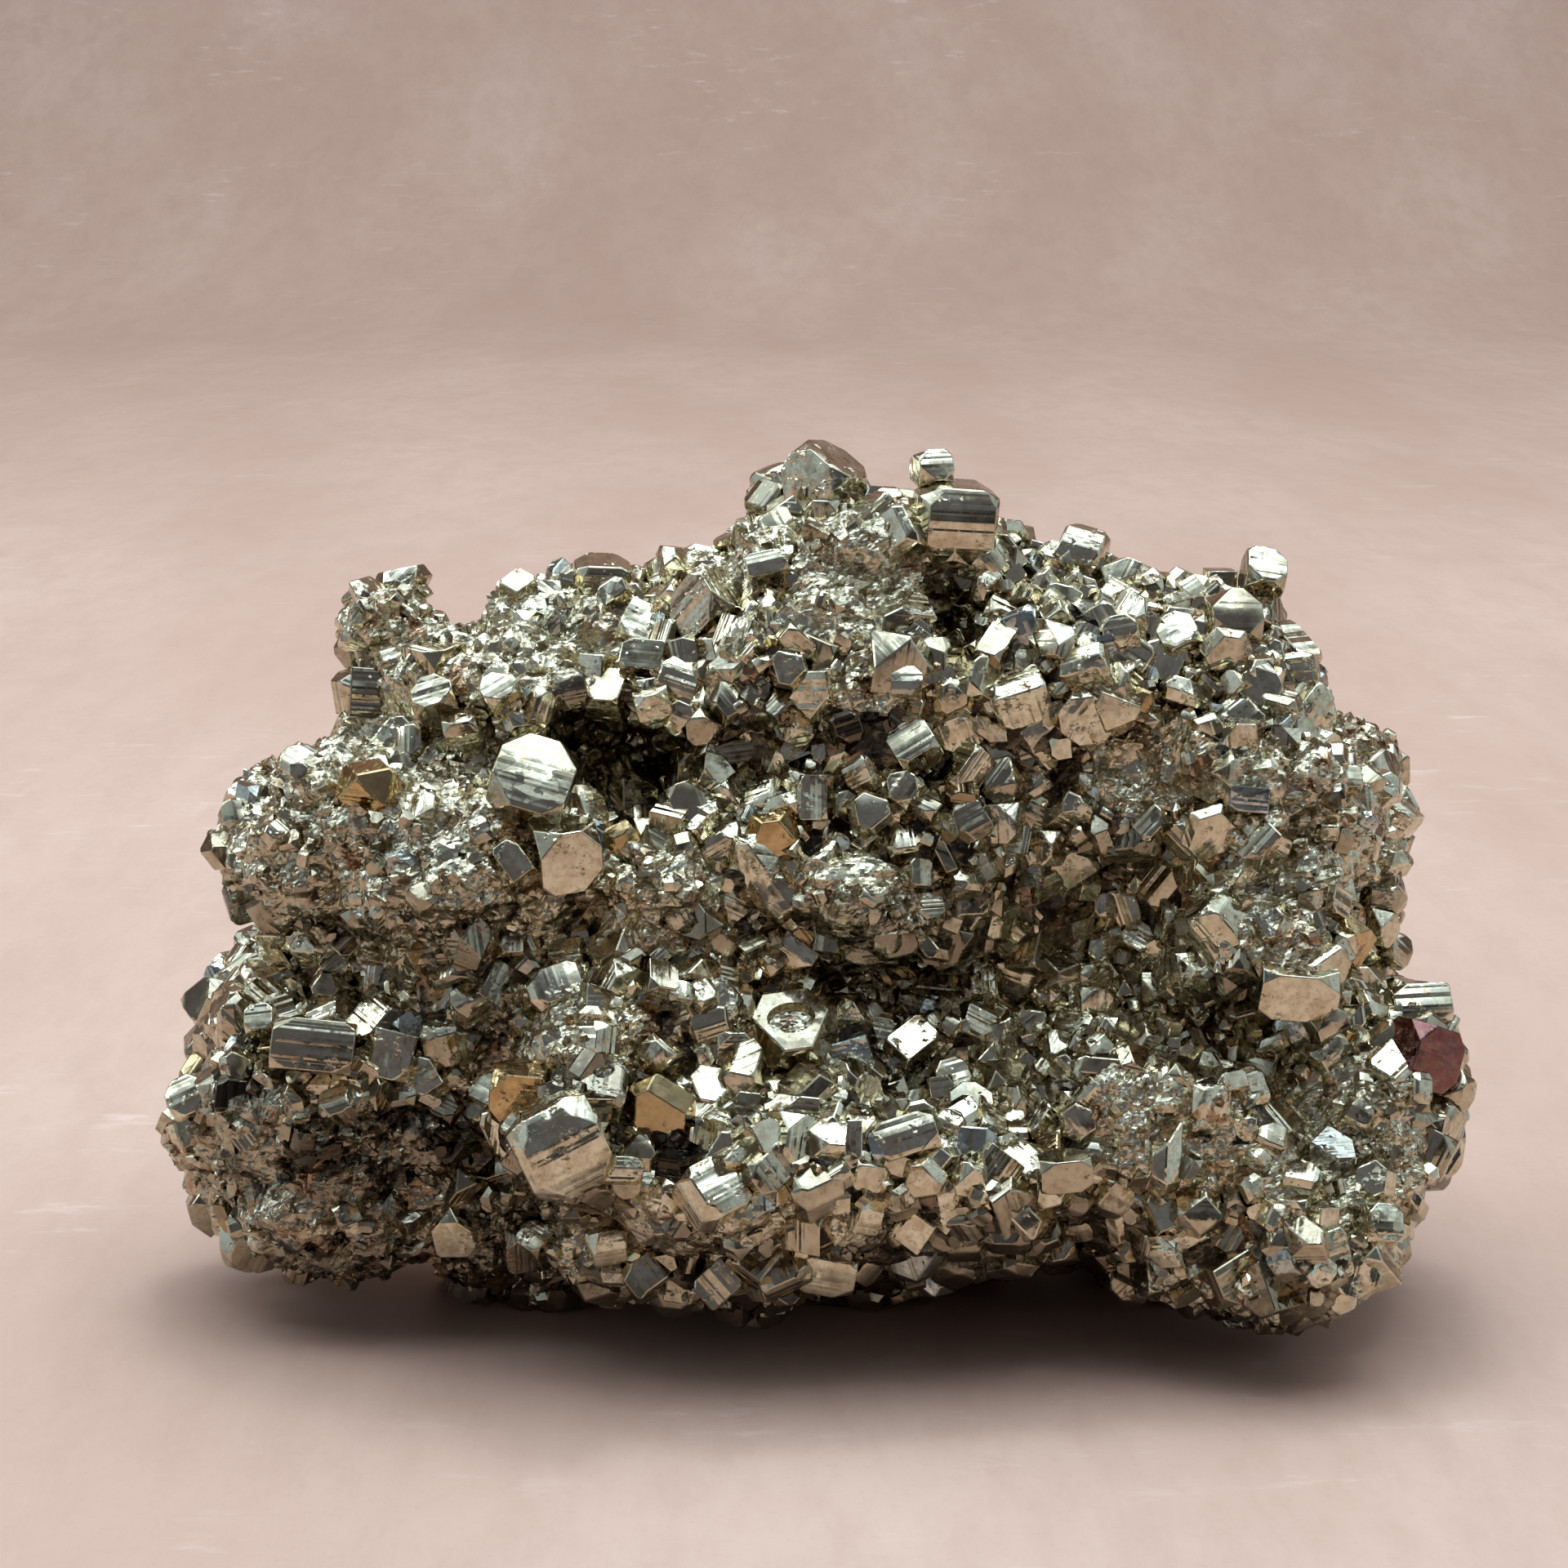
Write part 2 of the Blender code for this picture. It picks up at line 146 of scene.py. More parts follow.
# Zones: they reach round to faces turned ZONE_TURN away, and noise makes their edges ragged
ZONE_TURN = -0.35
ZONE_WARP, ZONE_WARP_SIZE = 0.4, 2.6
ZONE_REACH = 0.8  # how far past its oval a zone is granular
ZONE_STEEPNESS = 4  # how sharp its edge is
# Granular zones that the solid has too little of: sheet right, sheet up, half sizes
MORE_GRANULAR = (
    (-31.5, 11.0, 6.5, 8.5),
    (-37.5, -3.0, 9.0, 10.5),
    (-39.5, -29.5, 8.0, 6.5),
    (-28.0, -36.5, 14.0, 5.0),
    (43.5, -27.5, 5.5, 6.5),
    (-1.5, -34.0, 9.0, 2.5),
    (43.0, 0.0, 5.0, 6.0),
    (-22.5, 10.8, 10.0, 4.6),
    (-5.6, 19.2, 5.0, 3.0),
    (2.5, 17.0, 6.5, 4.5),
)
# Zones of the open side darkened with painted shade in creases, hollows and under the rim, and with
# dark tarnish:
# # sheet right, sheet up, half sizes, strength (past 1 it is a painted black pit for a hollow's
# shade)
SHADE_AND_TARNISH_ZONES = (
    (-30.5, -28.5, 8.5, 5.5, 0.7),
    (-39.0, -27.0, 6.0, 8.0, 0.4),
    (-15.5, -23.5, 4.0, 3.0, 0.6),
    (17.0, -4.5, 9.0, 6.0, 0.3),
    (4.0, -10.5, 14.0, 2.6, 0.35),
    (-24.0, -17.0, 4.0, 6.0, 0.55),
    (-2.0, 6.0, 4.0, 2.6, 0.5),
    (-32.0, -7.5, 10.0, 6.5, 0.25),
    (2.0, -38.5, 30.0, 3.0, 0.3),
    (-30.0, -36.5, 13.0, 2.6, 0.7),
    (-22.0, -31.5, 6.0, 4.0, 0.6),
    (-8.2, -28.2, 2.6, 2.0, 1.8),
    (-35.5, -28.5, 3.2, 1.6, 1.6),
    (-41.0, -22.7, 1.6, 1.6, 1.7),
    (-25.0, -27.0, 1.6, 2.6, 1.6),
    (-30.0, -30.0, 2.2, 1.3, 1.5),
    (6.0, 3.5, 3.0, 2.0, 1.3),
)
DARK_STEEPNESS, DARK_REACH = 2, 0.3  # how sharp their edges are, and how far past the oval
# Stains anywhere: their size, how rare, how dark and how sharp they are
STAIN_SIZE, STAIN_LEVEL, STAIN_DARKEST = 6.0, 0.8, 0.5
STAIN_STEEPNESS, STAIN_WARP_SIZE, STAIN_SHIFT = 3, 3.0, Vector((3, 9, 1))
UNDERSIDE_SHADE = (-0.25, -0.75, 0.75)  # painted shade on faces that look down: from this lean of the skin on, full at, strength
SIDES = ("front_left", "front_right", "back_left", "back_right")

# Smaller crystals: width range, share of both widths that keeps two apart, lift range, bevel
CRYSTAL_SIZES = (
    ((2.8, 4.6), 0.30, (-0.31, -0.12), 0.04),
    ((1.7, 2.7), 0.31, (-0.24, -0.02), 0),
    ((0.9, 1.5), 0.34, (-0.10, 0.18), 0),
)
GRAIN_SIZES = (
    ((0.9, 1.7), 0.5, (-0.3, -0.1), 0),
    ((0.45, 0.9), 0.42, (-0.25, 0.1), 0),
)
SCATTER_TRIES = (16000, 34000, 60000)
FEWER_CRYSTALS = 0.985  # share of the tries given up where the mass is granular
GRAINS_KEPT, MORE_GRAINS = 0.15, 0.15  # share of the tries kept, and more where it is granular
SMALL_FAVOUR = 1.3  # the higher, the more widths are near the low end
UNEVEN_WIDTHS = (0.85, 1.2)
SEAT_ROOM = 0.8  # how much of its width a large crystal keeps others off
FLUSH_BELOW = 0.2  # where the skin looks up less than this, crystals lie flush
FLUSH_SHARE = 0.7
FLUSH_LEAN = 0.16
FLUSH_SINK = 0.14
EDGE_SOFTNESS = 0.09
CRYSTAL_KINDS = 36
SMALL_HABITS = ("cube", "barrel", "block", "octo", "barrel", "plate")
SMALL_CORNERS = 0.85
GRAIN_KINDS = 30
GRAIN_BLOCK, GRAIN_CUTS, GRAIN_DEPTH = 2.2, 7, (0.5, 0.95)
CUBE_FACE = 0.985  # a face this near to an axis is one of the cube's
STRIATED_POWER = 0.6  # the lower, the more crystals are striated
OTHERS_STRIATED = 0.35  # how striated other faces than the cube's are
ALWAYS_WORN = 6.0  # how far this lowers the tone of a pit's floor, so all of it is worn

# Pits in crystals of the front table, by its row: direction of the face, radius, stretch, depth
HOLLOWED = {
    9: ((0.05, -0.6, 0.8), 0.40, 0.35, 0.2),
    15: ((-0.6, -0.6, 0.5), 0.26, 0.1, 0.16),
}
PIT_LENGTHWISE = Vector((1, 0, 0.35))
PIT_RIM, PIT_WALL = 0.05, 0.07
WIDE_FACE = 0.3
# Striation, bend and tint of crystals of the front table, by its row
AMBER, RED = 0.93, 0.998  # places in RARE_TINTS
FRONT_FINISHES = {
    0: (0.9, 1.0),
    1: (0.2, 0.3),
    4: (0.3, 0.7),
    5: (0.1, 0.2),
    8: (0.1, 0.3, AMBER),
    9: (0.1, 0.1),
    13: (0.0, 0.2, AMBER),
    15: (0.8, 1.2),
    16: (1.0, 0.3),
    17: (0.8, 0.5),
    45: (0.2, 0.3, RED),
}

# Noises as (scale per millimetre, detail, roughness), and the range of a noise that counts
CRYSTAL_FINISH = {
    "bright": (0.71, 0.660, 0.485, 1),
    "dull": (0.55, 0.470, 0.315, 1),
    "roughness": 0.08,
    "worn_from": 0.53,
    "flake_tilt": 0.5,
    "flake_scale": 3.0,
    "flake_layers": ((1, 1.2),),
    "striation": 0.66,
    "curve": 0.28,
}
GRANULAR_FINISH = {
    "bright": (0.69, 0.638, 0.465, 1),
    "dull": (0.54, 0.462, 0.315, 1),
    "roughness": 0.09,
    "worn_from": 0.05,
    "flake_tilt": 0.60,
    "flake_scale": 0.55,
    "flake_layers": ((1, 0.9), (2.3, 0.7), (5.5, 0.4)),
}
SEED_SPREAD = (31.0, 17.0, 53.0)  # keeps the patterns of two crystals apart
MIDDLE_GREY = (0.5, 0.5, 0.5)
PATCHES, DULL_PATCHES = (0.75, 3.0, 0.62), (0.38, 0.66)
PATCH_ROUGHER = 0.07
WAVES, WAVE_TILT = (1.3, 2.0, 0.5), 0.14
WEAR_SPREAD, WEAR_EDGE = 0.12, 0.03
WORN_ROUGHER = 0.12
TARNISH = (0.34, 0.22, 0.13, 1)  # of worn parts
TARNISH_NOISE, TARNISHED = (0.32, 2.0), (0.55, 0.72)
SHADE_AND_STAIN_COLOUR = (0.14, 0.11, 0.075, 1)  # painted shade of the mass where it lies between crystals; also the dark of stains and of other painted shade
PIT_SHADE_COLOUR = (0.035, 0.028, 0.02, 1)  # painted black pits that stand for the shade in hollows, where the mass carries much stain or painted shade
PITS, PIT_RANGE = (0.42, 4.0, 0.6), (0.50, 0.60)
PITTED = (0.2, 0.55)
GRIME = (0.26, 0.20, 0.125, 1)  # dull film and dots on the faces
GRIME_NOISE, GRIME_RANGE = (1.9, 4.0, 0.75), (0.46, 0.66)
GRIME_SHARE, GRIME_ROUGHER = 0.42, 0.16
FILMED, FILM_SHARE = (0.4, 1.0), 0.5  # crystals that the film covers evenly
STEP_SHAPE, STEP_SCALE, STEP_TILT = (1.0, 1.5, 1.3), 0.9, 0.24  # sub-facets of a face
STEP_WANDER, STEPPED = 0.5, (0.25, 0.9)
RESEED = 7.0  # a crystal's seed times this has a fraction that serves as a second seed
BARREL_CURVE = 0.9  # how far striated faces bend across their striations
COARSE_BANDS = 2.2  # bands of striation per millimetre
FINE_BANDS = 5.2
COARSE_SHARE = 0.65
BAND_SPREAD = 40.0
BANDS_FADE = (0.28, 0.5)
FLAKE_SHAPE, FLAKE_WANDER = (1.0, 1.3, 2.1), 1.1
RAREST = 0.9975  # a place drawn for a crystal is no higher than this
RARE_TINTS = (
    (0.0, (1, 1, 1, 1)),
    (0.92, (0.80, 0.62, 0.40, 1)),
    (0.945, (0.80, 0.92, 1.15, 1)),
    (0.996, (0.31, 0.155, 0.20, 1)),
)

# Light: the room's colour, its glows as (direction, cosines where they start and are full, colour),
# and soft boxes as (name, place, aim, size, radiance, colour, whether mirror faces show it)
ROOM_COLOUR = (0.040, 0.040, 0.042, 1)
ROOM_GLOWS = (
    ((0, 1, 0.1), 0.20, 0.90, (0.80, 0.82, 0.80, 1)),
    ((-1, 0.1, 0.35), 0.55, 0.97, (0.50, 0.60, 0.70, 1)),
    ((1, 0.1, 0.35), 0.55, 0.97, (0.54, 0.65, 0.74, 1)),
    ((-0.35, -0.9, 0.3), 0.93, 0.96, (0.15, 0.15, 0.18, 1)),
    ((0.1, -0.72, 0.70), 0.80, 0.96, (0.15, 0.16, 0.20, 1)),
    ((0, 0.36, 0.93), 0.52, 0.86, (1.08, 1.36, 1.60, 1)),
)
LIGHTS = (
    ("key", (0.0, 0.19, 0.60), (0, 0, 0), (0.15, 0.11), 12.6, (0.93, 1.06, 1.20), True),
    ("sky", (0.0, 0.0, 0.62), (0, 0, 0), (0.9, 0.7), 1.0, (0.95, 1.03, 1.12), False),
    ("overhead", (0.0, 0.08, 0.62), (0, 0.04, 0), (0.62, 0.44), 1.25, (0.86, 1.06, 1.27), True),
    ("window", (-0.55, 0.10, 0.42), (0, 0, 0.03), (0.16, 0.4), 3.5, (0.84, 1.0, 1.12), True),
    ("lamp", (0.20, -0.16, 0.60), (0, 0, 0.03), (0.08, 0.05), 12.0, (1.0, 1.1, 1.1), True),
    ("backdrop_light", (0.0, 0.55, 0.9), (0, 1.2, 0.2), (1.2, 0.5), 2.4, (1.0, 1.1, 1.2), True),
)

# The board, in metres: it runs from FLOOR_START to FLOOR_END along Y and then sweeps up
FLOOR_START, FLOOR_END, SWEEP = -8.0, 0.9, 0.5
SWEEP_ANGLES = np.linspace(0.1, math.pi / 2, 12)
BACKDROP_TOP, BACKDROP_HALF_WIDTH = 1.6, 6.0
FLOOR_DARK = (0.52, 0.333, 0.250, 1)
FLOOR_PALE = (0.60, 0.415, 0.325, 1)
FLOOR_MOTTLE = (0.46, 0.288, 0.215, 1)
FLOOR_SCUFF = (0.78, 0.63, 0.54, 1)
FLOOR_ROUGHNESS = 0.55
FLOOR_DRAWN_OUT = (1.0, 0.3, 1.0)
CLOUDS, CLOUD_RANGE = (16.0, 4.0, 0.55), (0.3, 0.75)
MOTTLE, MOTTLE_RANGE, MOTTLE_SHARE = (130.0, 6.0, 0.75), (0.35, 0.7), 0.5
SPECKLE, SPECKLE_RANGE, SPECKLE_SHARE = (900.0, 3.0, 0.7), (0.5, 0.8), 0.35
SCUFFS, SCUFF_RANGE, SCUFF_SHARE = (70.0, 6.0, 0.7), (0.56, 0.72), 0.4
SCUFF_SHAPE = (1, 3, 1)
SCUFFED, SCUFFED_RANGE = (17.0, 2.0), (0.48, 0.6)
BUMPS, BUMP_HEIGHT, BUMP_STRENGTH = (700.0, 3.0), 0.0001, 0.2

# Lobes of the mass: centre x, y, z, then radii along x, y, z, then tilt about Y in degrees
LOBES = (
    # core
    (0, 5, 27, 37, 19, 21, 0),
    (6, 7, 42, 26, 15, 12, 0),
    # upper left terrace and its corner knob
    (-20, 7, 40, 14.5, 14, 9, 0),
    (-33, 9, 45.5, 3.8, 5, 6.5, 0),
    (-17, 10, 47.5, 7, 6, 4.5, 0),
    # crest
    (3, 5, 51, 11, 9, 8, 0),
    (2, 10, 55, 7, 6, 5, 20),
    (11, 4, 53, 4.5, 5, 4.5, 0),
    (-7, 8, 50.5, 5, 6, 4.6, 0),
    # upper right shoulder
    (19, 4, 44.5, 14, 13, 9.3, 0),
    (30, 4, 43, 8.5, 12, 8.8, 0),
    (37, 6, 33.5, 8.5, 12, 9, 0),
    (39, 4, 30.5, 7.6, 11, 8, 0),
    # lower right buttress
    (39, -2, 14.5, 11.2, 16, 9, 0),
    (33, -15, 8, 11.5, 11, 7.6, 0),
    (26, -13, 16, 10, 9, 6.5, 0),
    (25, -8, 6.5, 13, 10, 6, 0),
    # lower ledge
    (-3, -16, 13.5, 18, 11, 6, 0),
    (-17, -19, 16.5, 6, 7, 6.5, 0),
    (-11, -11, 23.5, 7.5, 8, 6, 0),
    (13, -16, 12, 10, 9, 5.5, 0),
    (-7, -12, 6.5, 14, 10, 6, 0),
    (12, -10, 6, 10, 9, 5, 0),
    # lower left buttress
    (-33, -3, 15, 14, 14, 10.5, 0),
    (-39.5, -1, 10.5, 9.5, 11, 9.5, 0),
    (-33, -9, 9.5, 12, 8, 8, 0),
    (-41, 2, 18.5, 6, 8, 5, 0),
    (-22, -6, 8, 9, 10, 7.5, 0),
    (-21, -7, 22.5, 11, 9, 6.5, 0),
    # middle left bulge
    (-32, 0, 32, 11.5, 13, 8.5, 0),
    (-38, 2, 31.3, 6, 9, 7.5, 0),
    (-24, -8, 32.5, 10, 8, 6.5, 0),
    # knobs above the groove
    (-10, -9, 31.5, 7, 7, 5.5, 0),
    (4, -8, 31.5, 8, 8, 5.5, 0),
    (18, -2, 34, 10, 7, 8, 0),
    (33, -8, 27, 8, 9, 5, 0),
    (32, -4, 36, 9, 10, 8, 0),
    (4, -2, 43, 16, 8, 7, 0),
    # back
    (-20, 18, 22, 16, 12, 15, 0),
    (10, 19, 29, 18, 11, 16, 0),
    (30, 14, 20, 14, 12, 14, 0),
    (0, 18, 10.5, 22, 12, 11.5, 0),
    # feet, set back under the mass
    (2, 0, 3, 18, 9, 7.5, 0),
    (28, 2, 4, 10, 10, 8, 0),
    (-21, -1, 3.5, 8, 9, 7.5, 0),
    (4, 19, 4, 17, 9, 8, 0),
)

# Hollows cut into the mass: centre and radii as above
HOLLOWS = (
    (-14, -5, 39, 5, 9, 4.5, 0),
    (-16, -10, 41, 17, 7, 2.6, 0),
    (8, -16, 24.3, 12.5, 11, 3.0, 0),
    (28, -18, 22, 11, 9, 2.2, 0),
    (21, -14, 30, 8, 8, 7, 0),
    (-45, -9, 15.5, 1.8, 4, 1.6, 0),
    (10.5, -3, 50, 2.6, 5, 3, 0),
    (-25, -19, 12, 2.6, 4.5, 6, 0),
    (15, -16, 0.5, 9, 8, 4, 0),
    (-7, -24, 18, 2.6, 5, 2.2, 0),
    (48, -4, 22.8, 6, 12, 1.5, 0),
)

# Crystals of the open side: sheet right, sheet up, width, habit, then where its main face looks
# (degrees to the right and up from -Y) and its spin about that direction
FRONT_CRYSTALS = (
    (13.0, 19.8, 6.9, "barrel", 6, -3, 2),
    (3.1, 22.8, 5.9, "cube", -34, 6, 24),
    (11.2, 23.8, 3.1, "cube", 20, 30, 20),
    (-5.6, 13.5, 5.3, "cube", -42, 8, 5),
    (-18.9, -0.5, 7.4, "cube", 6, 43, -14),
    (-16.7, -5.4, 5.6, "cube", 20, -6, 25),
    (-20.4, -5.9, 3.1, "block", -10, 25, -60),
    (-11.4, -1.0, 3.8, "plate", 25, 20, 15),
    (-0.9, -4.1, 4.0, "plate", 0, -4, 0),
    (0.6, -18.8, 6.6, "plate", 4, 50, 15),
    (9.6, -19.7, 3.9, "block", 12, 47, 48),
    (-4.0, -19.8, 3.8, "cube", 20, -8, 15),
    (-9.4, -20.5, 3.1, "cube", -25, 5, 30),
    (-9.5, -24.8, 5.2, "plate", -4, -9, 20),
    (-5.6, -23.0, 3.5, "plate", 10, 50, 0),
    (-17.0, -27.1, 7.5, "barrel", 14, 2, 38),
    (-12.5, -29.3, 3.0, "block", 20, 25, 12),
    (-35.4, -20.0, 6.4, "block", 4, 24, -3),
    (-39.6, -18.0, 2.6, "cube", -10, 40, 0),
    (-44.7, -23.9, 3.7, "cube", -20, 30, 10),
    (34.0, 12.2, 4.6, "cube", 12, 38, 8),
    (33.6, 9.9, 3.7, "plate", 4, -12, 0),
    (30.0, 10.9, 3.7, "cube", -22, 42, 12),
    (36.2, 15.8, 3.7, "cube", 15, 45, 0),
    (25.6, 11.4, 3.0, "cube", -12, 22, 0),
    (9.9, 2.8, 3.8, "cube", -20, 38, 20),
    (13.7, 1.0, 3.7, "block", 32, 0, 80),
    (9.0, -0.5, 2.8, "cube", -8, 28, 50),
    (6.5, -2.2, 3.0, "plate", 5, 30, 0),
    (2.5, -1.0, 3.7, "block", -20, 12, 75),
    (-10.5, 9.5, 3.8, "block", -18, 32, -20),
    (-9.9, 5.9, 3.1, "cube", 5, -12, 20),
    (-6.2, 4.3, 2.8, "cube", -10, -5, 40),
    (-7.1, 1.1, 3.2, "cube", 15, 4, 10),
    (-26.3, 6.2, 3.6, "cube", -14, 45, 10),
    (-21.5, 6.7, 3.3, "cube", -8, 42, 30),
    (-24.4, 4.1, 3.1, "cube", 10, -14, 20),
    (0.3, 8.7, 2.8, "plate", -8, 20, 0),
    (0.9, 10.9, 2.8, "block", 10, -6, -30),
    (-1.2, 16.4, 3.1, "block", -5, 35, 10),
    (39.6, 5.9, 3.7, "block", 30, 10, 70),
    (35.2, -1.1, 3.1, "block", -6, 10, -10),
    (38.6, -15.2, 5.9, "block", 2, -14, -4),
    (40.9, -18.2, 3.3, "cube", 25, 0, 45),
    (47.9, -16.9, 4.6, "block", 10, 34, 10),
    (48.1, -20.6, 5.4, "cube", 34, 4, 12),
    (50.7, -23.2, 2.8, "cube", 48, -6, 0),
    (44.7, -10.8, 3.3, "cube", 48, -4, 30),
    (46.0, -12.6, 2.8, "cube", 40, 10, 0),
    (9.4, -26.8, 4.6, "block", -6, 30, 14),
    (12.5, -22.5, 3.1, "cube", 20, 42, 30),
    (10.5, -29.9, 3.0, "plate", -6, -8, 0),
    (14.1, -30.0, 2.8, "plate", 10, -12, 0),
    (22.4, -25.6, 2.8, "plate", -5, 12, 0),
    (21.1, -29.3, 3.8, "block", 6, -6, 10),
    (45.1, -33.5, 3.3, "cube", 20, 28, 10),
    (3.2, -36.6, 4.6, "block", -4, -10, -14),
    (6.4, -36.3, 2.8, "block", 15, -10, 70),
)

# Granular zones of the open side, with few whole crystals: sheet right, sheet up, half sizes
GRANULAR_ZONES = (
    (4.9, 15.1, 6.2, 4.6),
    (-16.4, 10.8, 8.3, 2.8),
    (-27.5, -4.3, 11.4, 9.3),
    (-31.8, -28.4, 7.1, 4.9),
    (-9.9, -8.7, 4.9, 4.9),
    (-18.2, -11.1, 2.8, 2.5),
    (6.2, -8.7, 6.2, 3.7),
    (-17.9, -19.5, 8.0, 4.0),
    (27.5, 1.9, 4.6, 4.3),
    (38.9, -2.5, 6.8, 6.2),
    (37.4, -11.4, 5.3, 3.4),
    (28.4, -25.6, 6.2, 4.6),
    (34.9, -29.7, 7.7, 2.5),
    (6.5, 7.7, 2.8, 2.8),
    (-18.5, -31.5, 2.5, 1.9),
    (30.0, -39.6, 7.1, 2.5),
)


def mesh_object(name, bm):
    """An object made of a bmesh, which it frees."""
    mesh = bpy.data.meshes.new(name)
    bm.to_mesh(mesh)
    bm.free()
    obj = bpy.data.objects.new(name, mesh)
    bpy.context.scene.collection.objects.link(obj)
    return obj


def helper(obj):
    """Marks a cutter or a guide, which is no piece of the specimen."""
    obj.hide_render = True
    obj.display_type = "WIRE"
    return obj


def voxel_fuse(obj, name):
    fuse = obj.modifiers.new(name, "REMESH")
    fuse.mode = "VOXEL"
    fuse.voxel_size = FUSE_STEP * MM


def ellipsoids(name, rows):
    """One fused object that holds an ellipsoid for each row of a table."""
    bm = bmesh.new()
    for x, y, z, radius_x, radius_y, radius_z, tilt in rows:
        place = Matrix.LocRotScale(
            Vector((x, y, z)) * MM,
            Euler((0, math.radians(tilt), 0)),
            Vector((radius_x, radius_y, radius_z)) * MM,
        )
        bmesh.ops.create_icosphere(bm, subdivisions=3, radius=1, matrix=place)
    obj = mesh_object(name, bm)
    voxel_fuse(obj, "fuse")
    return obj


def fused_mass():
    """The lobes fused into one skin with the hollows cut, as a bmesh."""
    mass = ellipsoids("lobes", LOBES)
    hollows = helper(ellipsoids("hollows", HOLLOWS))
    cut = mass.modifiers.new("cut", "BOOLEAN")
    cut.operation = "DIFFERENCE"
    cut.object = hollows
    voxel_fuse(mass, "even")
    soften = mass.modifiers.new("soften", "SMOOTH")
    soften.factor = 0.5
    soften.iterations = SMOOTH_STEPS
    bm = bmesh.new()
    bm.from_object(mass, bpy.context.evaluated_depsgraph_get())
    bpy.data.objects.remove(mass)
    bpy.data.objects.remove(hollows)
    return bm


def weather(bm):
    """Raises lumps and grain on the skin, along its normals."""
    bm.normal_update()
    heights = []
    for vert in bm.verts:
        at = vert.co / MM
        lump = noise.noise(at / LUMP_SIZE) * LUMP_HEIGHT
        grain = noise.noise(at / GRAIN_SIZE) * GRAIN_HEIGHT
        heights.append((lump + grain) * MM)
    for vert, height in zip(bm.verts, heights, strict=True):
        vert.co += vert.normal * height
    bm.normal_update()


def sheet_place(point):
    """Where a point in millimetres falls on the sheet, to the right and up from its middle."""
    line = point - SHEET_EYE
    at = SHEET_EYE + line * (SHEET_DISTANCE / line.dot(SHEET_FORWARD)) - SHEET_MIDDLE
    return at.dot(SHEET_RIGHT), at.dot(SHEET_UP)


def inside(spot, x, y, half_x, half_y):
    """How far a spot of the sheet lies inside an oval: 1 at its middle, 0 at its edge."""
    return 1 - ((spot[0] - x) / half_x) ** 2 - ((spot[1] - y) / half_y) ** 2


def granular(point, normal):
    """Whether a point in millimetres lies where the mass is granular."""
    if normal.dot((SHEET_EYE - point).normalized()) > OPEN_SIDE:
        right, up = sheet_place(point)
        return any(inside((right, up), *zone) > 0 for zone in GRANULAR_ZONES)
    return noise.noise(point / GRANULAR_SIZE + GRANULAR_SHIFT) > GRANULAR_LEVEL


def slice_off(bm, place, normal, nearness=0.0):
    """Takes off what lies past a plane and closes the cut with a flat face."""
    whole = bm.verts[:] + bm.edges[:] + bm.faces[:]
    cut = bmesh.ops.bisect_plane(
        bm, geom=whole, plane_co=place, plane_no=normal, clear_outer=True, dist=nearness
    )
    rim = [item for item in cut["geom_cut"] if isinstance(item, bmesh.types.BMEdge)]
    if rim:
        bmesh.ops.contextual_create(bm, geom=rim)


def habit_planes(habit, corner_share, rng):
    """Outward normals and distances of a crystal's faces, a little uneven."""
    cube, octahedron, pyritohedron = HABITS[habit]
    planes = []
    for axis in range(3):
        for side in (1, -1):
            normal = Vector((0, 0, 0))
            normal[axis] = side
            planes.append((normal, cube * rng.uniform(*UNEVEN)))
    for x, y, z in itertools.product((1, -1), repeat=3):
        if rng.random() > corner_share:
            continue
        flat = PLATE_FLATNESS if habit == "plate" and x == y == z else 1
        normal = Vector((x, y, z)).normalized()
        planes.append((normal, octahedron * flat * rng.uniform(*UNEVEN)))
    for a, b in itertools.product((1, -1), (2, -2) if pyritohedron else ()):
        for normal in ((0, a, b), (b, 0, a), (a, b, 0)):
            distance = pyritohedron * rng.uniform(*UNEVEN_PYRITOHEDRON)
            planes.append((Vector(normal).normalized(), distance))
    return planes


def crystal_bmesh(habit, corner_share, rng):
    """A crystal about 2 across, cut from a cube face by face."""
    bm = bmesh.new()
    bmesh.ops.create_cube(bm, size=4)
    for normal, distance in habit_planes(habit, corner_share, rng):
        slice_off(bm, normal * distance, normal, 1e-5)
    bmesh.ops.remove_doubles(bm, verts=bm.verts, dist=0.02)
    bmesh.ops.recalc_face_normals(bm, faces=bm.faces)
    if habit == "block":
        bmesh.ops.scale(bm, verts=bm.verts, vec=BLOCK_STRETCH)
    return bm


def facing(habit, right, up, spin):
    """The rotation that turns a crystal's main face to a direction, in degrees from -Y."""
    look = Vector((0, -1, 0))
    look.rotate(Euler((-math.radians(up), 0, math.radians(right))))
    main_face = Vector((1, 1, 1)) if habit == "plate" else Vector((0, 0, 1))
    turn = main_face.rotation_difference(look)
    return Matrix.Rotation(math.radians(spin), 3, look) @ turn.to_matrix()


def seat_on_line(skin, right, up):
    """Where the line through a place on the sheet meets the skin or passes by it, and its way."""
    place = right * SHEET_RIGHT + up * SHEET_UP
    line = (SHEET_MIDDLE + place - SHEET_EYE).normalized()
    for step in range(AIM_STEPS):
        aim = SHEET_MIDDLE + place * (1 - AIM_STEP * step) - SHEET_EYE
        reach = skin.ray_cast(SHEET_EYE * MM, aim)[3]
        if reach is not None:
            return SHEET_EYE * MM + line * reach, line
    raise ValueError(f"no skin near {right}, {up}")


def front_seats(skin):
    """(centre, half width, rotation, habit) of the crystals of the table, in metres."""
    seats = []
    for right, up, across, habit, look_right, look_up, spin in FRONT_CRYSTALS:
        point, line = seat_on_line(skin, right, up)
        centre = point - line * FRONT_LIFT * across * MM
        seats.append((centre, across / 2 * MM, facing(habit, look_right, look_up, spin), habit))
    return seats


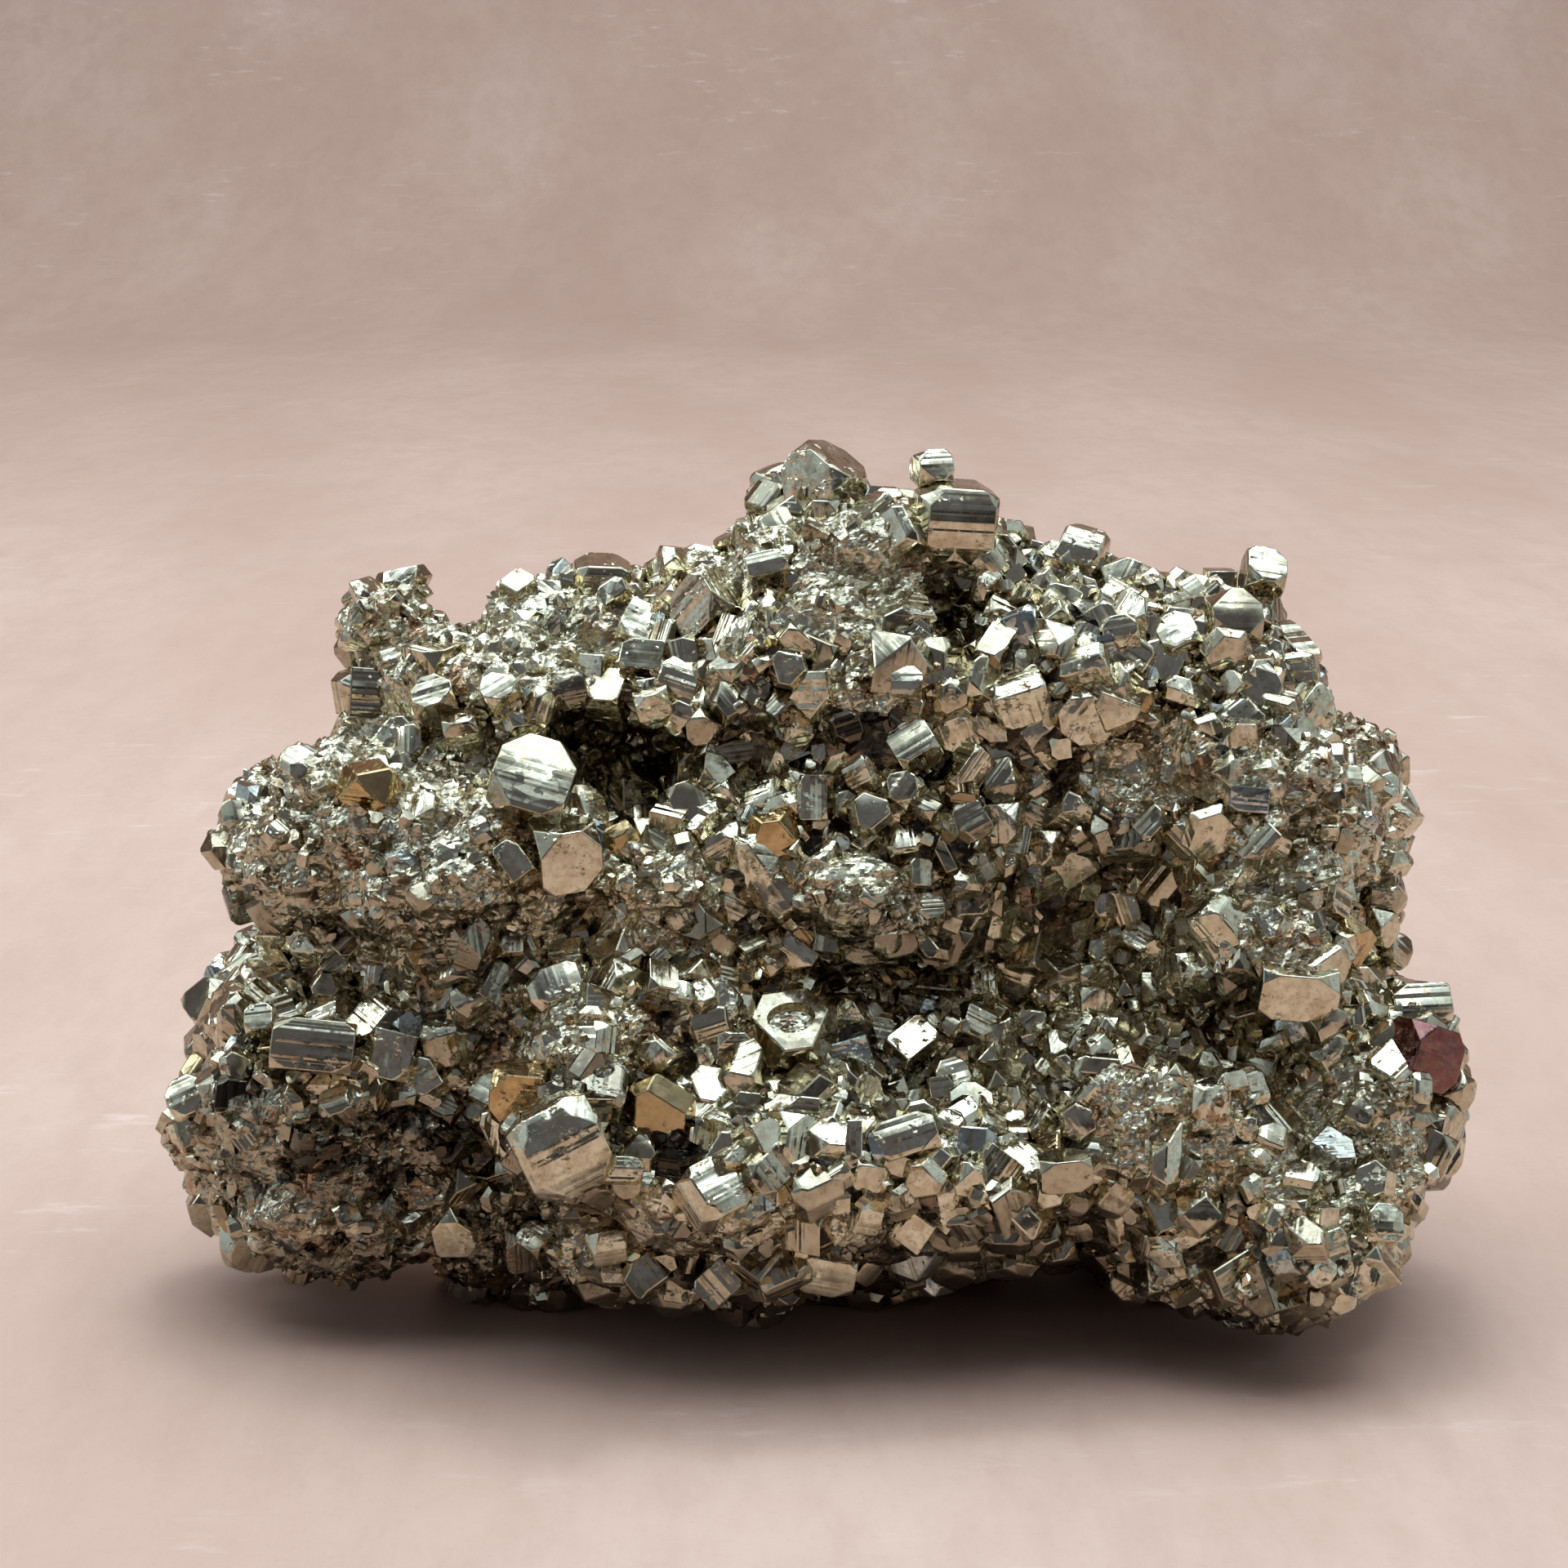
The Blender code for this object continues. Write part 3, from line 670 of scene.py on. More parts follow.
def fill_seats(bm, taken, rng):
    """Seats between those taken, spread over the whole skin, in the same form."""
    bm.faces.ensure_lookup_table()
    areas = [face.calc_area() for face in bm.faces]
    seats = []
    for pick in rng.choices(range(len(areas)), areas, k=FILL_TRIES):
        face = bm.faces[pick]
        point = face.calc_center_median()
        if granular(point / MM, face.normal) and rng.random() > GRANULAR_KEEP:
            continue
        across = rng.triangular(*FILL_ACROSS, FILL_ACROSS[0])
        if any(
            (point - seat[0]).length < (FILL_REACH * across + FILL_GAP) * MM + SEAT_REACH * seat[1]
            for seat in taken + seats
        ):
            continue
        habit = rng.choice(FILL_HABITS)
        turn = Euler([rng.uniform(0, math.tau) for _ in range(3)]).to_matrix()
        seats.append((point + face.normal * FILL_LIFT * across * MM, across / 2 * MM, turn, habit))
        if len(seats) == FILL_COUNT:
            break
    return seats


# ---------------------------------------------------------------- crystals as arrays


class Kind:
    """A crystal's shape as arrays: corners, faces, and for each face how it is striated."""

    def __init__(self, bm):
        bm.normal_update()
        corners = sorted(bm.verts, key=lambda vert: tuple(vert.co))
        faces = sorted(bm.faces, key=lambda face: tuple(face.calc_center_median()))
        for index, vert in enumerate(corners):
            vert.index = index
        self.corners = np.array([vert.co for vert in corners])
        self.loops = np.array([vert.index for face in faces for vert in face.verts])
        self.counts = np.array([len(face.verts) for face in faces])
        self.normals = np.array([face.normal for face in faces])
        self.across = np.array([self.across_of(face.normal) for face in faces])
        straight = np.abs(self.normals).max(axis=1)
        self.cube = (straight > CUBE_FACE).astype(float)
        worn = bm.faces.layers.int.get("worn")
        self.worn = np.array([face[worn] if worn else 0 for face in faces])

    @staticmethod
    def across_of(normal):
        """The direction across a face's striations, which run along the next cube edge in turn."""
        axis = max(range(3), key=lambda i: abs(normal[i]))
        along = Vector((0, 0, 0))
        along[(axis + 1) % 3] = 1
        return normal.cross(along).normalized()


def face_values(mesh, values):
    """Keeps a number or a vector for each face under each name."""
    for name, rows in values.items():
        rows = np.asarray(rows, np.float32)
        kind, slot = ("FLOAT", "value") if rows.ndim == 1 else ("FLOAT_VECTOR", "vector")
        mesh.attributes.new(name, kind, "FACE").data.foreach_set(slot, rows.ravel())


class Batch:
    """Many crystals gathered into one mesh, with what their finish needs on each face.

    A face keeps the direction across its striations, how striated, worn and tinted it is, its
    crystal's centre, how far it bends, and how much stain and painted shade its colour carries.
    """

    FACE_VALUES = ("across", "facet", "centre", "bend", "shade_and_stain")

    def __init__(self, rarest=RAREST):
        self.rarest = rarest
        self.total = 0
        self.crystals = []

    def add(self, kind, centre, turn, scale, rng, shade_and_stain, striated=None, bend=None, tint=None):
        """Adds one crystal. Its finish is drawn at random where it isn't given."""
        drawn = rng.random(4)
        striated = drawn[0] ** STRIATED_POWER if striated is None else striated
        bend = drawn[1] ** 2 if bend is None else bend
        faces = len(kind.counts)
        facet = np.empty((faces, 3))
        facet[:, 0] = striated * (OTHERS_STRIATED + (1 - OTHERS_STRIATED) * kind.cube)
        facet[:, 1] = drawn[2] - ALWAYS_WORN * kind.worn
        facet[:, 2] = drawn[3] * self.rarest if tint is None else tint
        self.crystals.append({
            "corners": (kind.corners * scale) @ turn.T + centre,
            "loops": kind.loops + self.total,
            "counts": kind.counts,
            "across": kind.across @ turn.T,
            "facet": facet,
            "centre": np.tile(centre / MM, (faces, 1)),
            "bend": np.full(faces, bend * MM / np.max(scale)),
            "shade_and_stain": np.full(faces, shade_and_stain),
        })
        self.total += len(kind.corners)

    def build(self, name, material):
        crystals = self.crystals
        rows = {key: np.concatenate([crystal[key] for crystal in crystals]) for key in crystals[0]}
        mesh = bpy.data.meshes.new(name)
        mesh.vertices.add(len(rows["corners"]))
        mesh.vertices.foreach_set("co", rows["corners"].astype(np.float32).ravel())
        mesh.loops.add(len(rows["loops"]))
        mesh.loops.foreach_set("vertex_index", rows["loops"].astype(np.int32))
        mesh.polygons.add(len(rows["counts"]))
        starts = np.cumsum(rows["counts"]) - rows["counts"]
        mesh.polygons.foreach_set("loop_start", starts.astype(np.int32))
        mesh.update(calc_edges=True)
        mesh.shade_flat()
        face_values(mesh, {key: rows[key] for key in self.FACE_VALUES})
        mesh.materials.append(material)
        obj = bpy.data.objects.new(name, mesh)
        bpy.context.scene.collection.objects.link(obj)
        return obj


def crystal_kinds(bevel, rng):
    kinds = []
    for i in range(CRYSTAL_KINDS):
        bm = crystal_bmesh(SMALL_HABITS[i % len(SMALL_HABITS)], SMALL_CORNERS, rng)
        if bevel:
            bmesh.ops.bevel(bm, geom=bm.edges[:], offset=bevel, segments=1, affect="EDGES")
        kinds.append(Kind(bm))
        bm.free()
    return kinds


def grain_kinds(rng):
    """Broken grains with a few flat faces in no order."""
    kinds = []
    for _ in range(GRAIN_KINDS):
        bm = bmesh.new()
        bmesh.ops.create_cube(bm, size=GRAIN_BLOCK)
        for _ in range(GRAIN_CUTS):
            normal = Vector([rng.gauss(0, 1) for _ in range(3)]).normalized()
            slice_off(bm, normal * rng.uniform(*GRAIN_DEPTH), normal)
        bmesh.ops.remove_doubles(bm, verts=bm.verts, dist=0.05)
        bmesh.ops.recalc_face_normals(bm, faces=bm.faces)
        kinds.append(Kind(bm))
        bm.free()
    return kinds


# ---------------------------------------------------------------- placing


def side_of(at):
    """Which quarter of the specimen a place is on."""
    return SIDES[2 * int(at[1] > 0) + int(at[0] > 0)]


def on_front(point, normal):
    return normal.dot((SHEET_EYE - point).normalized()) > ZONE_TURN


def clamped(value):
    return min(max(value, 0), 1)


def grain_share(point, normal):
    """How granular the mass is at a point in millimetres, from 0 to 1, with ragged edges."""
    warp = ZONE_WARP * noise.noise(point / ZONE_WARP_SIZE)
    if on_front(point, normal):
        spot = sheet_place(point)
        level = max(inside(spot, *zone) for zone in GRANULAR_ZONES + MORE_GRANULAR)
    else:
        level = noise.noise(point / GRANULAR_SIZE + GRANULAR_SHIFT) - GRANULAR_LEVEL
        level *= ZONE_STEEPNESS
    return clamped((level + warp) * ZONE_STEEPNESS + ZONE_REACH)


def stain_and_shade_share(point, normal):
    """How stained and shaded the specimen is at a point in millimetres: random stains, and painted
    shade on faces that look down and in the listed zones. 1 is full, and past 1 is a painted black
    pit.
    """
    warp = ZONE_WARP * noise.noise(point / STAIN_WARP_SIZE)
    stain = noise.noise(point / STAIN_SIZE + STAIN_SHIFT) - STAIN_LEVEL
    dark = STAIN_DARKEST * clamped(STAIN_STEEPNESS * stain + warp + 1)
    # painted shade, darker the more a face looks down
    start, full, strength = UNDERSIDE_SHADE
    dark = max(dark, strength * clamped((start - normal.z) / (start - full)))
    if on_front(point, normal):
        spot = sheet_place(point)
        for *zone, strength in SHADE_AND_TARNISH_ZONES:
            depth = (inside(spot, *zone) + warp) * DARK_STEEPNESS + DARK_REACH
            dark = max(dark, strength * clamped(depth))
    return dark


class Skin:
    """The displaced mass as triangles, to draw random places from."""

    def __init__(self, mesh):
        mesh.calc_loop_triangles()
        corners = np.empty(len(mesh.vertices) * 3)
        mesh.vertices.foreach_get("co", corners)
        normals = np.empty(len(mesh.vertices) * 3)
        mesh.vertices.foreach_get("normal", normals)
        triangles = np.empty(len(mesh.loop_triangles) * 3, int)
        mesh.loop_triangles.foreach_get("vertices", triangles)
        triangles = triangles.reshape(-1, 3)
        self.points = corners.reshape(-1, 3)[triangles]
        self.normals = normals.reshape(-1, 3)[triangles]
        edges = self.points[:, 1:] - self.points[:, :1]
        areas = np.linalg.norm(np.cross(edges[:, 0], edges[:, 1]), axis=1)
        self.shares = areas / areas.sum()

    def draw(self, count, rng):
        picks = rng.choice(len(self.shares), count, p=self.shares)
        weights = rng.dirichlet((1, 1, 1), count)[:, :, None]
        at = (self.points[picks] * weights).sum(axis=1)
        up = (self.normals[picks] * weights).sum(axis=1)
        return at, up / np.linalg.norm(up, axis=1)[:, None]


class Room:
    """What is already taken on the skin, in cells, to keep new crystals from the same place."""

    CELL = 4.0 * MM

    def __init__(self):
        self.cells = {}

    def cell(self, point):
        return tuple(int(math.floor(value / self.CELL)) for value in point)

    def free(self, point, half_width, share):
        home = self.cell(point)
        for step in itertools.product((-1, 0, 1), repeat=3):
            near = tuple(a + b for a, b in zip(home, step))
            for other, width in self.cells.get(near, ()):
                reach = share * 2 * (half_width + width)
                if sum((a - b) ** 2 for a, b in zip(point, other)) < reach * reach:
                    return False
        return True

    def take(self, point, half_width):
        self.cells.setdefault(self.cell(point), []).append((point, half_width))


def random_turn(rng):
    w, x, y, z = rng.normal(size=4)
    return np.array(Quaternion((w, x, y, z)).normalized().to_matrix())


def flush_turn(normal, rng):
    """A turn that lays a crystal's cube face nearly flush with the skin."""
    lean = Vector(normal) + Vector(rng.normal(size=3)) * FLUSH_LEAN
    turn = Vector((0, 0, 1)).rotation_difference(lean)
    return np.array(Matrix.Rotation(rng.uniform(0, math.tau), 3, lean) @ turn.to_matrix())


def kept_in(corners, box):
    """The move that brings corners back inside a box."""
    low, high = np.array(box)
    return np.maximum(low - corners.min(axis=0), 0) - np.maximum(corners.max(axis=0) - high, 0)


def scatter(skin, room, sizes, kinds_of, wanted, batch_of, box, rng):
    """Covers the skin with crystals or grains, the large ones first."""
    for ((low, high), share, lifts, bevel), tries in zip(sizes, SCATTER_TRIES):
        kinds = kinds_of(bevel)
        points, normals = skin.draw(tries, rng)
        for point, normal in zip(points, normals):
            spot = Vector((point - SHIFT) / MM)
            if rng.random() > wanted(grain_share(spot, Vector(normal))):
                continue
            half_width = (low + (high - low) * rng.random() ** SMALL_FAVOUR) / 2 * MM
            place = tuple(point)
            if not room.free(place, half_width, share):
                continue
            room.take(place, half_width)
            kind = kinds[rng.integers(len(kinds))]
            flush = normal[2] < FLUSH_BELOW and rng.random() < FLUSH_SHARE
            turn = flush_turn(normal, rng) if flush else random_turn(rng)
            lift = rng.uniform(*lifts) - (FLUSH_SINK if flush else 0)
            centre = point + normal * lift * 2 * half_width
            scale = half_width * rng.uniform(*UNEVEN_WIDTHS, 3)
            centre = centre + kept_in((kind.corners * scale) @ turn.T + centre, box)
            # stains and painted shade at the crystal's place
            dark = stain_and_shade_share(spot, Vector(normal))
            batch_of(centre).add(kind, centre, turn, scale, rng, dark)


# ---------------------------------------------------------------- finishes


class Graph:
    """Short calls for a material's nodes. A value may be a number, a tuple or a socket."""

    def __init__(self, tree):
        self.tree = tree

    def node(self, kind, inputs=None, **settings):
        made = self.tree.nodes.new(kind)
        for name, value in settings.items():
            setattr(made, name, value)
        for key, value in (inputs or {}).items():
            if isinstance(value, bpy.types.NodeSocket):
                self.tree.links.new(value, made.inputs[key])
            else:
                made.inputs[key].default_value = value
        return made

    def math(self, operation, a, b=0.0, c=0.0, clamp=False):
        made = self.node("ShaderNodeMath", {0: a, 1: b, 2: c}, operation=operation, use_clamp=clamp)
        return made.outputs[0]

    def times(self, a, b):
        return self.math("MULTIPLY", a, b)

    def vector(self, operation, a, b=(0, 0, 0)):
        made = self.node("ShaderNodeVectorMath", {0: a, 1: b}, operation=operation)
        return made.outputs["Value" if operation == "DOT_PRODUCT" else "Vector"]

    def plus(self, a, b):
        return self.vector("ADD", a, b)

    def scaled(self, vector, scale):
        made = self.node("ShaderNodeVectorMath", {0: vector, "Scale": scale}, operation="SCALE")
        return made.outputs["Vector"]

    def step(self, value, low, high):
        made = self.node(
            "ShaderNodeMapRange",
            {"Value": value, "From Min": low, "From Max": high},
            interpolation_type="SMOOTHSTEP",
        )
        return made.outputs[0]

    def mix(self, share, a, b, blend="MIX"):
        made = self.node("ShaderNodeMix", {0: share, 6: a, 7: b}, data_type="RGBA", blend_type=blend)
        return made.outputs[2]

    def ramp(self, value, stops):
        """A colour that steps from one stop to the next."""
        made = self.node("ShaderNodeValToRGB", {0: value})
        made.color_ramp.interpolation = "CONSTANT"
        for position, colour in stops[1:]:
            made.color_ramp.elements.new(position)
        made.color_ramp.elements.remove(made.color_ramp.elements[-1])
        for element, (position, colour) in zip(made.color_ramp.elements, stops, strict=True):
            element.position = position
            element.color = colour
        return made.outputs[0]

    def attribute(self, name, output="Vector"):
        return self.node("ShaderNodeAttribute", attribute_name=name).outputs[output]

    def link(self, socket, node, name):
        self.tree.links.new(socket, node.inputs[name])

    def noise(self, vector, scale, detail, roughness=0.5, output=0):
        """A noise, or three noises in one from the output called Color."""
        inputs = {"Vector": vector, "Scale": scale, "Detail": detail, "Roughness": roughness}
        return self.node("ShaderNodeTexNoise", inputs).outputs[output]

    def parts(self, vector):
        return self.node("ShaderNodeSeparateXYZ", {0: vector}).outputs

    def cells(self, vector, scale):
        """A random colour for each cell, which makes flat grains when it tilts the normal."""
        made = self.node("ShaderNodeTexVoronoi", {"Vector": vector, "Scale": scale})
        return made.outputs["Color"]

    def bands(self, position, scale):
        """A random number for each band of a line."""
        inputs = {"W": position, "Scale": scale}
        made = self.node("ShaderNodeTexVoronoi", inputs, voronoi_dimensions="1D")
        return self.node("ShaderNodeSeparateColor", {0: made.outputs["Color"]}).outputs[0]


def banded_tilt(graph, place, across, striated, seed, fade, amount):
    """How far striations tilt a face across them: a different angle for each fine band."""
    line = graph.math("MULTIPLY_ADD", seed, BAND_SPREAD, graph.vector("DOT_PRODUCT", place, across))
    coarse = graph.math("SUBTRACT", graph.bands(line, COARSE_BANDS), 0.5)
    fine = graph.math("SUBTRACT", graph.bands(line, FINE_BANDS), 0.5)
    both = graph.math("MULTIPLY_ADD", coarse, COARSE_SHARE, fine)
    strength = graph.times(striated, amount)
    return graph.times(graph.times(both, fade), strength)


def flakes(graph, apart, waves, scale, layers):
    """A random tilt for each small flake, the flakes flattened and their edges wandering."""
    flat = graph.vector("MULTIPLY", apart, FLAKE_SHAPE)
    flat = graph.plus(flat, graph.scaled(waves, FLAKE_WANDER))
    tilt = None
    for size, share in layers:
        cell = graph.vector("SUBTRACT", graph.cells(flat, scale * size), MIDDLE_GREY)
        cell = graph.scaled(cell, share)
        tilt = graph.plus(tilt, cell) if tilt else cell
    return tilt


def curved(graph, normal, place, across, striated, curve):
    """Faces bulge a little, and striated ones bend across their striations."""
    outward = graph.vector("SUBTRACT", place, graph.attribute("centre"))
    bend = graph.attribute("bend", "Fac")
    bulge = graph.scaled(outward, graph.times(bend, curve))
    reach = graph.times(graph.vector("DOT_PRODUCT", outward, across), bend)
    barrel = graph.times(graph.times(reach, striated), BARREL_CURVE)
    barrel = graph.scaled(across, barrel)
    return graph.plus(graph.plus(normal, bulge), barrel)


def growth_steps(graph, apart, waves, seed):
    """Faces break up into sub-facets that lean a little from each other."""
    place = graph.vector("MULTIPLY", apart, STEP_SHAPE)
    place = graph.plus(place, graph.scaled(waves, STEP_WANDER))
    cell = graph.vector("SUBTRACT", graph.cells(place, STEP_SCALE), MIDDLE_GREY)
    other_seed = graph.math("FRACT", graph.times(seed, RESEED))
    stepped = graph.step(other_seed, *STEPPED)
    return graph.scaled(cell, graph.times(stepped, STEP_TILT))


def shaded_and_stained_metal(graph, metal, place, worn, shade_and_stain, pitted):
    """Paints shade into the metal in the gaps between crystals, paints black pits for the shade of
    hollows, darkens it with stains, and lets tarnish take the worn parts.
    """
    # painted shade in the gaps between crystals, and darkening by stains
    metal = graph.mix(graph.math("MINIMUM", shade_and_stain, 1.0), metal, SHADE_AND_STAIN_COLOUR)
    # painted black pits, standing for the shade in hollows, where the zones pass 1
    metal = graph.mix(graph.math("SUBTRACT", shade_and_stain, 1.0, clamp=True), metal, PIT_SHADE_COLOUR)
    if pitted:
        # scattered painted black pits for hollows among the granular grains
        pits = graph.step(graph.noise(place, *PITS), *PIT_RANGE)
        metal = graph.mix(graph.times(pits, graph.step(shade_and_stain, *PITTED)), metal, PIT_SHADE_COLOUR)
    tarnished = graph.step(graph.noise(place, *TARNISH_NOISE), *TARNISHED)
    return graph.mix(graph.times(worn, tarnished), metal, TARNISH)


def pyrite(
    name, bright, dull, roughness, worn_from, flake_tilt, flake_scale, flake_layers,
    striation=None, curve=None,
):
    """Pyrite's finish: mirror faces with striations, and worn patches that break up into flakes.

    Wear starts where its noise is past worn_from, and there each flake tilts by up to flake_tilt.
    """
    material = bpy.data.materials.new(name)
    material.use_nodes = True
    graph = Graph(material.node_tree)
    surface = material.node_tree.nodes["Principled BSDF"]
    place = graph.scaled(graph.node("ShaderNodeTexCoord").outputs["Object"], 1 / MM)
    striated, tone, seed = graph.parts(graph.attribute("facet"))
    across = graph.attribute("across")
    apart = graph.plus(place, graph.scaled(SEED_SPREAD, seed))
    patch, patch_2, patch_3 = graph.parts(graph.noise(apart, *PATCHES, output="Color"))
    waves = graph.vector("SUBTRACT", graph.noise(apart, *WAVES, output="Color"), MIDDLE_GREY)

    normal = graph.node("ShaderNodeNewGeometry").outputs["Normal"]
    if striation:
        fade = graph.step(patch_2, *BANDS_FADE)
        tilt = banded_tilt(graph, place, across, striated, seed, fade, striation)
        normal = graph.plus(normal, graph.scaled(across, tilt))
    if curve:
        normal = curved(graph, normal, place, across, striated, curve)
        normal = graph.plus(normal, growth_steps(graph, apart, waves, seed))
    normal = graph.plus(normal, graph.scaled(waves, WAVE_TILT))
    threshold = graph.math("MULTIPLY_ADD", tone, WEAR_SPREAD, worn_from)
    worn = graph.step(graph.math("SUBTRACT", patch, threshold), 0.0, WEAR_EDGE)
    broken = flakes(graph, apart, waves, flake_scale, flake_layers)
    broken = graph.scaled(broken, graph.times(worn, flake_tilt))
    normal = graph.plus(normal, broken)
    graph.link(graph.vector("NORMALIZE", normal), surface, "Normal")

    metal = graph.mix(graph.step(patch_3, *DULL_PATCHES), bright, dull)
    metal = graph.mix(1.0, metal, graph.ramp(seed, RARE_TINTS), blend="MULTIPLY")
    metal = graph.mix(graph.times(graph.step(tone, *FILMED), FILM_SHARE), metal, GRIME)
    grime = graph.step(graph.noise(apart, *GRIME_NOISE), *GRIME_RANGE)
    metal = graph.mix(graph.times(grime, GRIME_SHARE), metal, GRIME)
    metal = shaded_and_stained_metal(graph, metal, place, worn, graph.attribute("shade_and_stain", "Fac"), not curve)
    graph.link(metal, surface, "Base Color")
    rough = graph.math("MULTIPLY_ADD", worn, WORN_ROUGHER, roughness)
    rough = graph.math("MULTIPLY_ADD", grime, GRIME_ROUGHER, rough)
    rough = graph.math("MULTIPLY_ADD", patch_3, PATCH_ROUGHER, rough)
    graph.link(rough, surface, "Roughness")
    surface.inputs["Metallic"].default_value = 1.0
    return material


def floor_material():
    """A rosy board, a little mottled and scuffed."""
    material = bpy.data.materials.new("rose_board")
    material.use_nodes = True
    graph = Graph(material.node_tree)
    surface = material.node_tree.nodes["Principled BSDF"]
    place = graph.node("ShaderNodeTexCoord").outputs["Object"]
    drawn_out = graph.vector("MULTIPLY", place, FLOOR_DRAWN_OUT)
    clouds = graph.step(graph.noise(drawn_out, *CLOUDS), *CLOUD_RANGE)
    colour = graph.mix(clouds, FLOOR_DARK, FLOOR_PALE)
    mottle = graph.step(graph.noise(drawn_out, *MOTTLE), *MOTTLE_RANGE)
    colour = graph.mix(graph.times(mottle, MOTTLE_SHARE), colour, FLOOR_MOTTLE)
    speckle = graph.step(graph.noise(place, *SPECKLE), *SPECKLE_RANGE)
    colour = graph.mix(graph.times(speckle, SPECKLE_SHARE), colour, FLOOR_MOTTLE)
    scuff_place = graph.vector("MULTIPLY", place, SCUFF_SHAPE)
    scuff = graph.step(graph.noise(scuff_place, *SCUFFS), *SCUFF_RANGE)
    there = graph.step(graph.noise(place, *SCUFFED), *SCUFFED_RANGE)
    scuff = graph.times(graph.times(scuff, there), SCUFF_SHARE)
    graph.link(graph.mix(scuff, colour, FLOOR_SCUFF), surface, "Base Color")
    surface.inputs["Roughness"].default_value = FLOOR_ROUGHNESS
    height = graph.noise(place, *BUMPS)
    bump = graph.node("ShaderNodeBump", {"Height": height, "Distance": BUMP_HEIGHT})
    bump.inputs["Strength"].default_value = BUMP_STRENGTH
    graph.link(bump.outputs[0], surface, "Normal")
    return material


# ---------------------------------------------------------------- pieces


def from_middle(at, size, warp, warp_size):
    """How far a place is from the middle of the nearest of many rounded, uneven cells."""
    return noise.voronoi(at / size + warp * noise.noise_vector(at / warp_size))[0][0]


def bed_height(at, normal):
    """How far the mass moves along its normal at a place in millimetres."""
    share = grain_share(at, normal)
    near = from_middle(at, KNOB_SIZE, *KNOB_WARP)
    knobs = KNOB_RISE + KNOB_HEIGHT * (KNOB_MIDDLE - near * near)
    far = from_middle(at, HUMP_SIZE, *HUMP_WARP)
    humps = HUMP_HEIGHT * (HUMP_MIDDLE - far * far)
    coarse = noise.noise(at / CRUMB_SIZE)
    fine = noise.noise(at / CRUMB_SIZE * CRUMB_FINER)
    crumbs = CRUMB_HEIGHT * coarse + CRUMB_HEIGHT * CRUMB_FINE_SHARE * fine
    jitter = CRUMB_JITTER * noise.noise(at * JITTER_SCALE)
    bed = CRYSTAL_BED + BED_ROUGHNESS * noise.noise(at / BED_SIZE)
    return humps + (knobs + crumbs + jitter) * share + bed * (1 - share)


def displaced_mass(bm, box):
    """The solid's skin made finer, knobbly where it is granular and lower among the crystals."""
    obj = helper(mesh_object("bed", bm))
    obj.modifiers.new("finer", "SUBSURF")
    fine = bmesh.new()
    fine.from_object(obj, bpy.context.evaluated_depsgraph_get())
    bpy.data.objects.remove(obj)
    fine.normal_update()
    edges = {}
    for face in fine.faces:
        if grain_share(face.calc_center_median() / MM, face.normal) > FINER_FROM:
            edges.update(dict.fromkeys(face.edges))
    bmesh.ops.subdivide_edges(fine, edges=list(edges), cuts=1, use_grid_fill=True)
    bmesh.ops.triangulate(fine, faces=[face for face in fine.faces if len(face.verts) > 4])
    fine.normal_update()
    heights = [bed_height(vert.co / MM, vert.normal) * MM for vert in fine.verts]
    for vert, height in zip(fine.verts, heights, strict=True):
        place = vert.co + vert.normal * height + ORIGIN_SHIFT * MM
        vert.co = np.clip(place, *np.array(box))
    return fine


def mass_piece(name, fine, side, material):
    """The part of the mass in front of the seam or behind it, closed by a flat face."""
    bm = fine.copy()
    seam = Vector((0, SEAM * MM, 0))
    whole = bm.verts[:] + bm.edges[:] + bm.faces[:]
    cut = bmesh.ops.bisect_plane(
        bm, geom=whole, plane_co=seam, plane_no=(0, side, 0), clear_outer=True, dist=1e-7
    )
    rim = [item for item in cut["geom_cut"] if isinstance(item, bmesh.types.BMEdge)]
    bmesh.ops.triangle_fill(bm, edges=rim, use_dissolve=False)
    bmesh.ops.recalc_face_normals(bm, faces=bm.faces)
    obj = mesh_object(name, bm)
    obj.data.shade_flat()
    shade_and_stain = []
    for face in obj.data.polygons:
        at = face.center / MM - ORIGIN_SHIFT
        # painted shade between crystals where the mass is not granular, with stains and other
        # painted shade
        shade_and_stain.append(max(1 - grain_share(at, face.normal), stain_and_shade_share(at, face.normal)))
    values = {"across": (1, 0, 0), "facet": (0, 0, 0.5), "centre": (0, 0, 0)}
    values = {key: np.tile(value, (len(shade_and_stain), 1)) for key, value in values.items()}
    face_values(obj.data, {**values, "shade_and_stain": shade_and_stain})
    obj.data.materials.append(material)
    return obj


def hollow_out(bm, unturn, toward, radius, stretch, depth):
    """Sinks an oval pit with a crumbly floor into the face that looks most toward a direction."""
    toward = unturn @ Vector(toward)
    worn = bm.faces.layers.int.new("worn")
    wide = [face for face in bm.faces if face.calc_area() > WIDE_FACE]
    face = max(wide, key=lambda face: face.normal.dot(toward))
    middle = face.calc_center_median()
    side = (unturn @ PIT_LENGTHWISE).cross(face.normal).cross(-face.normal).normalized()
    bmesh.ops.inset_region(bm, faces=[face], thickness=PIT_RIM, use_even_offset=True)
    bmesh.ops.subdivide_edges(bm, edges=face.edges[:], cuts=3)
    for vert in face.verts:
        reach = (vert.co - middle).normalized() * radius
        vert.co = middle + reach + side * reach.dot(side) * stretch
    bmesh.ops.inset_region(bm, faces=[face], thickness=PIT_WALL, depth=-depth, use_even_offset=True)
    face[worn] = 1


def cut_at_floor(bm, centre, half_width, turn):
    """Takes off what would reach under the floor, in the crystal's own frame."""
    down = turn.inverted() @ Vector((0, 0, -1))
    height = (centre.z + ORIGIN_SHIFT.z * MM) / half_width
    slice_off(bm, down * height, down, 1e-6)


